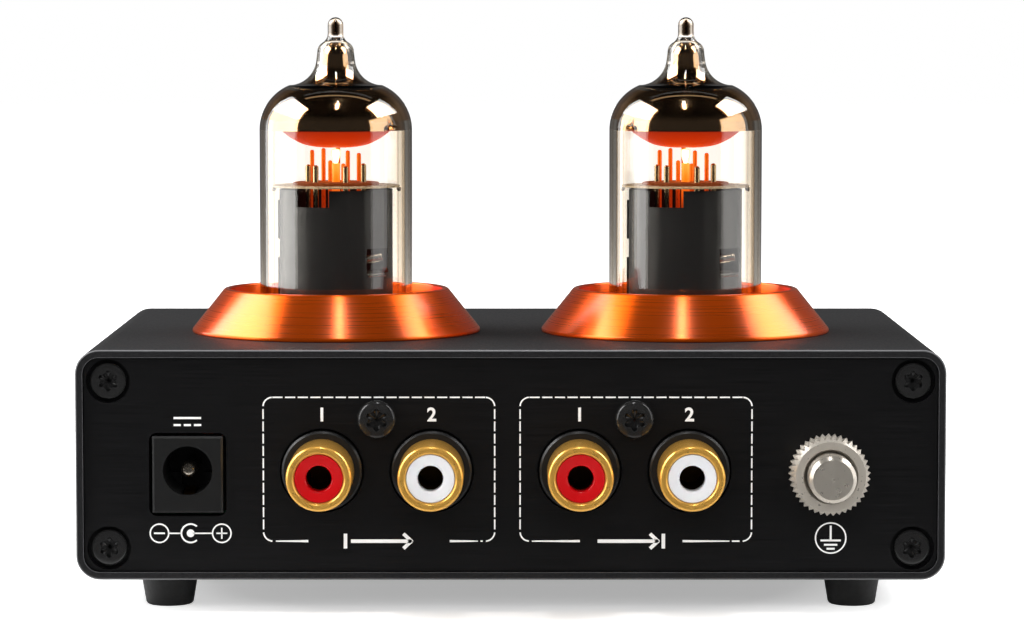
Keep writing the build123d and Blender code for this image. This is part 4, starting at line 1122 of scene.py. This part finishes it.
class PREAMP_OT_print(bpy.types.Operator):
    """Print the rear panel: jack frames, polarity, ground and direction marks"""

    bl_idname = "preamp.print"
    bl_label = "Rear Panel Print"

    def execute(self, context):
        looks = context.scene.preamp_looks
        stroke = looks.stroke / MM
        shapes = []
        for frame_ends in FRAMES:
            shapes += self.frame(*frame_ends, stroke)
        for mark in (self.polarity, self.direct_current, self.earth):
            shapes += mark(stroke)
        for x, inwards in ARROWS:
            shapes += self.arrow(x, inwards)
        for pair in PAIRS:
            for channel, numeral in zip(CHANNELS, "12"):
                x = axis_of(f"{pair}_{channel}_shell")[0] / MM
                shapes.append(lettering(numeral, (x, NUMERAL_HEIGHT), REAR_NUMERAL, 0.06))
        piece(
            "rear_print", raised(shapes, looks.ink_height), screen_ink(looks), "chassis", "insulator_white",
            place=rear(0, CASE_LOW.z),
        )
        return {"FINISHED"}

    def frame(self, left, right, solids, stroke):
        """A dashed frame with round corners and heavier tapered strokes beside its label."""
        low, high, corner = FRAME_LOW, FRAME_HIGH, FRAME_CORNER
        shapes = dashed((left + corner, high), (right - corner, high), DASH, DASH_GAP, stroke)
        for x in (left, right):
            foot, head = (x, low + corner + DASH_GAP), (x, high - corner - DASH_GAP)
            shapes += dashed(foot, head, DASH, DASH_GAP, stroke)
        for x, y, start in (
            (right - corner, high - corner, 0), (left + corner, high - corner, 90),
            (left + corner, low + corner, 180), (right - corner, low + corner, 270),
        ):
            shapes.append(band((x, y), corner, stroke, start + CORNER_GAP, 90 - 2 * CORNER_GAP))
        (left_thin, left_thick), (right_thick, right_thin) = solids
        thin, thick = stroke * TAPER_THIN, stroke * TAPER_THICK
        shapes.append(bar((left_thin, low), (left_thick, low), thin, thick))
        shapes.append(bar((right_thick, low), (right_thin, low), thick, thin))
        shapes.append(bar((right_thin + DASH_GAP, low), (right - corner - DASH_GAP, low), stroke))
        return shapes

    def polarity(self, stroke):
        """Centre-positive mark: minus, a C round a dot, plus."""
        x, y = POLARITY_PLACE
        radius, arm = POLARITY_RADIUS, POLARITY_ARM
        minus, plus = x - POLARITY_SPACING, x + POLARITY_SPACING
        return [
            band((minus, y), radius, stroke), band((plus, y), radius, stroke),
            band((x, y), radius, stroke * 1.2, POLARITY_OPENING, 360 - 2 * POLARITY_OPENING),
            disc((x, y), POLARITY_DOT),
            bar((minus - arm, y), (minus + arm, y), stroke * 1.15),
            bar((plus - arm, y), (plus + arm, y), stroke),
            bar((plus, y - arm), (plus, y + arm), stroke),
            bar((minus + radius, y), (x - radius, y), stroke),
            bar((x + 0.3, y), (plus - radius, y), stroke),
        ]

    def direct_current(self, stroke):
        """The plain mark for direct current: a bar over three dashes."""
        x, y = axis_of("dc_jack_pin")[0] / MM, DC_MARK_HEIGHT
        weight, half = stroke * 1.5, 0.45
        dashes = [
            bar((x + step - half, y - half), (x + step + half, y - half), weight) for step in (-1.3, 0, 1.3)
        ]
        return [bar((x - 1.75, y + half), (x + 1.75, y + half), weight), *dashes]

    def earth(self, stroke):
        """Protective earth mark: a stem and three bars in a circle."""
        x, y = EARTH_PLACE
        shapes = [band((x, y), EARTH_RADIUS, stroke), bar((x, y + 1.6), (x, y - 0.3), stroke * 1.4)]
        for drop, half in ((0.31, 1.3), (0.87, 0.85), (1.38, 0.52)):
            shapes.append(bar((x - half, y - drop), (x + half, y - drop), stroke * 1.35))
        return shapes

    def arrow(self, x, inwards):
        """A plain arrow that leaves a bar, or runs up to one."""
        y, half, head, weight = FRAME_LOW, ARROW_HALF, ARROW_HEAD, ARROW_WEIGHT
        bar_x = x + half if inwards else x - half
        start, tip = (x - half, x + half - 0.7) if inwards else (x - half + 0.7, x + half)
        return [
            bar((bar_x, y - head), (bar_x, y + head), weight),
            bar((start, y), (tip, y), weight),
            bar((tip + 0.1, y - 0.08), (tip - 1.0, y + head), weight),
            bar((tip + 0.1, y + 0.08), (tip - 1.0, y - head), weight),
        ]


class PREAMP_OT_jacks(bpy.types.Operator):
    """Build the phono jacks, and finish the barrel inlet"""

    bl_idname = "preamp.jacks"
    bl_label = "Jacks"

    def execute(self, context):
        looks = context.scene.preamp_looks
        dress(moulded_black_nylon(looks), "output_jack_body", "input_jack_body", "dc_jack_body")
        gold = gold_plated_brass(looks)
        brass = contact_brass()
        liners = {
            "right": (moulded_abs("red", looks.red_colour), "insulator_red"),
            "left": (moulded_abs("white", looks.white_colour), "insulator_white"),
        }
        for pair in PAIRS:
            for channel in CHANNELS:
                name = f"{pair}_{channel}"
                low, high, middle = node_box(f"{name}_shell")
                place = rear(middle.x, middle.z)
                lip, tail = (REAR_FACE_Y - low.y) / MM, (REAR_FACE_Y - high.y) / MM
                piece(
                    f"{name}_gold_shell", phono_shell(lip, tail, COLLAR_REACH), gold, "chassis",
                    "gold_plate", f"{name}_shell", place=place,
                )
                material, slot = liners[channel]
                face = (REAR_FACE_Y - node_box(f"{name}_insulator")[0].y) / MM
                piece(
                    f"{name}_liner", phono_liner(face, tail), material, "chassis", slot,
                    f"{name}_insulator", place=place,
                )
                dress(brass, f"{name}_contact")
        dress(brass, "dc_jack_spring")
        dress(tinned_wire(), "dc_jack_pin")
        return {"FINISHED"}


class PREAMP_OT_terminal(bpy.types.Operator):
    """Build the ground terminal"""

    bl_idname = "preamp.terminal"
    bl_label = "Ground Terminal"

    def execute(self, context):
        looks = context.scene.preamp_looks
        nickel = nickel_plated_brass(looks)
        dress(nickel, "ground_washer", "ground_nut", "ground_lug", "ground_lock_nut")
        low, _, middle = node_box("ground_post")
        reach = (REAR_FACE_Y - low.y) / MM
        piece(
            "turned_ground_post", terminal_post(reach), turned_nickel(looks), "chassis", "turned_nickel",
            "ground_post", place=rear(middle.x, middle.z), sharp=50,
        )
        return {"FINISHED"}


class PREAMP_OT_rings(bpy.types.Operator):
    """Build the conical rings round the tubes"""

    bl_idname = "preamp.rings"
    bl_label = "Tube Rings"

    def execute(self, context):
        orange = orange_anodised_aluminium(context.scene.preamp_looks)
        ceramic = plain_finish("glazed_ceramic", "#b9b2a6", 0.4)
        for side in SIDES:
            _, high, middle = node_box(f"{side}_tube_ring")
            height = (high.z - CASE_HIGH.z) / MM
            piece(
                f"{side}_cone_ring", cone_ring(height), orange, "chassis", "ring_orange",
                f"{side}_tube_ring", place=Matrix.Translation((middle.x, middle.y, CASE_HIGH.z)),
            )
            dress(ceramic, f"{side}_tube_socket")
        return {"FINISHED"}


class PREAMP_OT_tubes(bpy.types.Operator):
    """Build the envelopes, films and electrodes of the two tubes"""

    bl_idname = "preamp.tubes"
    bl_label = "Tubes"

    def execute(self, context):
        looks = context.scene.preamp_looks
        materials = {
            "glass": clear_glass(), "film": smoky_mirror(looks), "anode": carbonised_steel(looks),
            "mica": mica_sheet(), "warm": warm_spacer(), "brass": support_brass(),
            "grid": heated_wire(), "cathode": heated_cathode(), "bead": white_hot(),
            "getter": heated_dish(), "pins": tinned_wire(),
        }
        for side in SIDES:
            self.tube(side, materials)
        return {"FINISHED"}

    def tube(self, side, materials):
        """The envelope's film and the electrodes, from the outside in."""
        seat, body = tube_seat(side), f"{side}_tube"
        for part in ("glass", "pins", "cathode"):
            dress(materials[part], f"{side}_tube_{part}")

        def add(name, shape, finish_name, slot, *replaced):
            piece(f"{side}_{name}", shape, materials[finish_name], body, slot, *replaced, place=seat)

        add("dome_film", dome_film(), "film", "getter_metal")
        add("anode_sleeve", anode_sleeve(), "anode", "anode_grey", f"{side}_tube_anode")
        discs = [disc_at(low, MICA_RADIUS, MICA_THICKNESS, 0.05) for low in (MICA_LOW, MICA_HIGH)]
        add("mica_discs", joined(discs), "mica", "mica", f"{side}_tube_micas")
        # the spacer plate carries a painted glow for the heater's light
        plate = disc_at(MICA_TOP, PLATE_RADIUS, PLATE_THICKNESS, 0.08, 0.15)
        add("glow_painted_plate", plate, "warm", "heater_glow")
        clips = [
            ball(end * CLIP_PLACE, turn * CLIP_SPREAD, CLIP_HEIGHT, CLIP_RADIUS, 1.4)
            for end in (-1, 1)
            for turn in (-1, 1)
        ]
        add("mica_clips", joined(clips), "pins", "tube_nickel")
        supports = pin_row(SUPPORT_POSTS, SUPPORT_RADIUS, 0.8)
        add("support_posts", supports, "brass", "gold_plate", f"{side}_tube_posts")
        add("grid_posts", pin_row(GRID_POSTS, GRID_RADIUS, 0.9), "grid", "heater_glow")
        heater = turned(HEATER_PROFILE, steps=32)
        add("heater_bead", heater, "bead", "heater_glow", f"{side}_tube_heater")
        stem = [(0, MICA_TOP, 0), (STEM_RADIUS, MICA_TOP, 0), (STEM_RADIUS, STEM_TOP, 0), (0, STEM_TOP, 0)]
        dish = joined([turned(DISH_PROFILE), moved(turned(stem, steps=24), at(0, STEM_PLACE))])
        add("getter_dish", dish, "getter", "getter_metal", f"{side}_tube_getter")
        add("window_tab", window_tab(), "pins", "tube_nickel")


class PREAMP_OT_controls(bpy.types.Operator):
    """Finish the gain dial, its scale, the power switch and the lamp"""

    bl_idname = "preamp.controls"
    bl_label = "Front Controls"

    def execute(self, context):
        looks = context.scene.preamp_looks
        ink = screen_ink(looks)
        dress(turned_black_aluminium(), "gain_knob")
        dress(nickel_plated_brass(looks), "gain_pot_nut", "gain_pot_shaft", "toggle_nut")
        dress(chrome_plate(), "toggle_body", "toggle_lever")
        dress(moulded_black_nylon(looks), "gain_pot_body")
        dress(amber_lens(), "power_led")
        dress(plain_finish("solder_resist", "#0c3b22", 0.4), "circuit_board")
        dress(plain_finish("shrink_sleeve", "#1a1c2c", 0.3), "capacitors")
        dress(plain_finish("epoxy_case", "#141414", 0.5), "amplifier_chips")
        self.scale(looks, ink)
        self.pointer(ink)
        return {"FINISHED"}

    def scale(self, looks, ink):
        """Ticks and the numerals 0 to 10 round the gain dial."""
        middle = node_box("gain_knob")[2]
        shapes = []
        for mark in range(11):
            angle = radians(240 - 30 * mark)
            way = Vector((cos(angle), sin(angle)))
            start, end = way * SCALE_RADIUS, way * (SCALE_RADIUS + TICK_LENGTH)
            shapes.append(bar(start, end, looks.stroke / MM))
            label = way * (SCALE_RADIUS + SCALE_NUMERAL_GAP)
            shapes.append(lettering(str(mark), (label.x, label.y), SCALE_NUMERAL, 0.03))
        piece(
            "gain_scale", raised(shapes, looks.ink_height), ink, "chassis", "insulator_white",
            place=front(middle.x, middle.z),
        )

    def pointer(self, ink):
        """White line let into the knob's face."""
        _, high, middle = node_box("gain_knob")
        out = Matrix.Translation((0, high.y - POINTER_SUNK * MM - FRONT_FACE_Y, 0))
        line = [bar((0, POINTER_START), (0, POINTER_END), POINTER_WIDTH)]
        piece(
            "gain_pointer", raised(line, POINTER_THICKNESS * MM), ink, "gain_dial", "insulator_white",
            place=out @ front(middle.x, middle.z),
        )


def ray_kinds(tree):
    """Sockets that are 1 for what the lens sees, also through glass, what is mirrored, and the rest."""
    path = add_node(tree, "LightPath")
    mirrored, matt = (
        add_node(
            tree, "Math", {0: path.outputs[f"{kind} Depth"], 1: 0.5}, operation="GREATER_THAN"
        ).outputs[0]
        for kind in ("Glossy", "Diffuse")
    )
    either = add_node(tree, "Math", {0: mirrored, 1: matt}, operation="MAXIMUM")
    seen = add_node(tree, "Math", {0: 1.0, 1: either.outputs[0]}, operation="SUBTRACT")
    return seen.outputs[0], mirrored, matt


def area_lamp(name, centre, target, width, height, radiance):
    """A one-sided rectangular lamp of a given radiance, facing a target."""
    light = bpy.data.lights.new(name, "AREA")
    light.shape = "RECTANGLE"
    light.size = width
    light.size_y = height
    light.energy = radiance * pi * width * height
    lamp = bpy.data.objects.new(name, light)
    bpy.context.scene.collection.objects.link(lamp)
    facing = (Vector(target) - Vector(centre)).to_track_quat("-Z", "Y").to_matrix().to_4x4()
    lamp.matrix_world = Matrix.Translation(centre) @ facing
    lamp.visible_camera = False
    return lamp


class PREAMP_OT_stage(bpy.types.Operator):
    """Set up the floor, the white surroundings, the lamps and the camera"""

    bl_idname = "preamp.stage"
    bl_label = "Stage"

    def execute(self, context):
        stage = context.scene.preamp_stage
        self.floor(stage)
        self.world(context.scene, stage)
        self.lamps(stage)
        self.camera(context.scene, stage)
        context.scene.view_settings.view_transform = "Standard"
        return {"FINISHED"}

    def floor(self, stage):
        """White paper, burnt out away from the object. Shiny metal mirrors it dark in front."""
        bm = bmesh.new()
        bmesh.ops.create_grid(bm, x_segments=1, y_segments=1, size=stage.floor_size / 2)
        mesh = bpy.data.meshes.new("floor")
        bm.to_mesh(mesh)
        bm.free()
        floor = bpy.data.objects.new("floor", mesh)
        bpy.context.scene.collection.objects.link(floor)
        material = new_material("white_seamless_paper", {
            "Roughness": 0.9, "Specular IOR Level": 0.0, "Emission Color": (1, 1, 1, 1),
        })
        tree, shader = shading(material)
        seen, mirrored, _ = ray_kinds(tree)
        beyond = add_node(
            tree, "MapRange",
            {"Value": axes(tree)["Y"], "From Min": DARK_FLOOR_STARTS, "From Max": DARK_FLOOR_FULL},
        )
        dark = add_node(tree, "Math", {0: mirrored, 1: beyond.outputs[0]}, operation="MULTIPLY")
        paper = add_node(
            tree, "Mix",
            {0: dark.outputs[0], 6: rgba(stage.floor_colour), 7: rgba(srgb("#303030"))}, data_type="RGBA",
        )
        tree.links.new(paper.outputs[2], shader.inputs["Base Color"])
        coords = add_node(tree, "TexCoord")
        away = add_node(tree, "VectorMath", {0: coords.outputs["Object"]}, operation="LENGTH")
        far = add_node(
            tree, "MapRange",
            {
                "Value": away.outputs["Value"], "From Min": BURNT_FLOOR_STARTS, "From Max": BURNT_FLOOR_FULL,
                "To Min": NEAR_FLOOR_GLOW,
            },
        )
        glow = add_node(tree, "Math", {0: far.outputs[0], 1: seen}, operation="MULTIPLY")
        tree.links.new(glow.outputs[0], shader.inputs["Emission Strength"])
        mesh.materials.append(material)

    def world(self, scene, stage):
        """White behind the object; dimmer where metal mirrors it, and dark in front."""
        world = bpy.data.worlds.new("white_surroundings")
        scene.world = world
        world.use_nodes = True
        tree = world.node_tree
        tree.nodes.clear()
        seen, mirrored, matt = ray_kinds(tree)
        _, y, z = axes(tree, "Generated")
        depth = add_node(
            tree, "MapRange",
            {
                "Value": y, "From Min": SHINE_FRONT, "From Max": SHINE_BACK,
                "To Min": stage.shine_in_front, "To Max": stage.shine_behind,
            },
        )
        height = add_node(
            tree, "MapRange",
            {"Value": z, "From Min": SHINE_LOW, "From Max": SHINE_HIGH, "To Min": 1.0, "To Max": 0.1},
        )
        low = add_node(tree, "Math", {0: depth.outputs[0], 1: height.outputs[0]}, operation="MULTIPLY")
        shine = add_node(tree, "Math", {0: mirrored, 1: low.outputs[0]}, operation="MULTIPLY")
        white = add_node(tree, "Math", {0: seen, 1: shine.outputs[0]}, operation="MAXIMUM")
        fill = add_node(tree, "Math", {0: matt, 1: stage.ambient}, operation="MULTIPLY")
        total = add_node(tree, "Math", {0: white.outputs[0], 1: fill.outputs[0]}, operation="MAXIMUM")
        light = add_node(tree, "Background", {"Color": (1, 1, 1, 1), "Strength": total.outputs[0]})
        add_node(tree, "OutputWorld", {"Surface": light.outputs[0]})

    def lamps(self, stage):
        """Softboxes on both sides, two strips overhead, and a fill that shiny surfaces don't show."""
        for name, radiance, x, reach_y, reach_z in SOFTBOXES:
            y, z = sum(reach_y) / 2, sum(reach_z) / 2
            width, height = reach_y[1] - reach_y[0], reach_z[1] - reach_z[0]
            area_lamp(name, (x, y, z), (0, y, z), width, height, getattr(stage, radiance))
        for name, radiance, centre, target, width, height in STRIPS:
            lamp = area_lamp(name, centre, target, width, height, getattr(stage, radiance))
            lamp.visible_glossy = lamp.visible_transmission = name != "front_fill"

    def camera(self, scene, stage):
        """A long lens in front of the rear panel, a little above the case."""
        data = bpy.data.cameras.new("camera")
        data.lens = stage.lens
        data.sensor_width = 36
        data.clip_start = 0.01
        data.clip_end = 50
        camera = bpy.data.objects.new("camera", data)
        scene.collection.objects.link(camera)
        camera.location = (stage.camera_x, CASE_LOW.y - stage.camera_distance, stage.camera_height)
        camera.rotation_euler = (radians(90) - stage.camera_pitch, 0, 0)
        scene.camera = camera


class PREAMP_PT_panel(bpy.types.Panel):
    """Lists the preamp's colours, sizes and build steps"""

    bl_idname = "PREAMP_PT_panel"
    bl_label = "Phono Preamp"
    bl_space_type = "VIEW_3D"
    bl_region_type = "UI"
    bl_category = "Preamp"

    def draw(self, context):
        for group in (context.scene.preamp_looks, context.scene.preamp_stage):
            box = self.layout.box()
            for name in group.__annotations__:
                box.prop(group, name)
        for operator in OPERATORS:
            self.layout.operator(operator.bl_idname)


OPERATORS = (
    PREAMP_OT_case,
    PREAMP_OT_print,
    PREAMP_OT_jacks,
    PREAMP_OT_terminal,
    PREAMP_OT_rings,
    PREAMP_OT_tubes,
    PREAMP_OT_controls,
    PREAMP_OT_stage,
)
CLASSES = (PreampLooks, StageLooks, *OPERATORS, PREAMP_PT_panel)


def register():
    for cls in CLASSES:
        bpy.utils.register_class(cls)
    bpy.types.Scene.preamp_looks = bpy.props.PointerProperty(type=PreampLooks)
    bpy.types.Scene.preamp_stage = bpy.props.PointerProperty(type=StageLooks)


def unregister():
    del bpy.types.Scene.preamp_stage
    del bpy.types.Scene.preamp_looks
    for cls in reversed(CLASSES):
        bpy.utils.unregister_class(cls)


def main():
    register()
    bpy.ops.preamp.case()
    bpy.ops.preamp.print()
    bpy.ops.preamp.jacks()
    bpy.ops.preamp.terminal()
    bpy.ops.preamp.rings()
    bpy.ops.preamp.tubes()
    bpy.ops.preamp.controls()
    bpy.ops.preamp.stage()


if __name__ == "__main__":
    main()
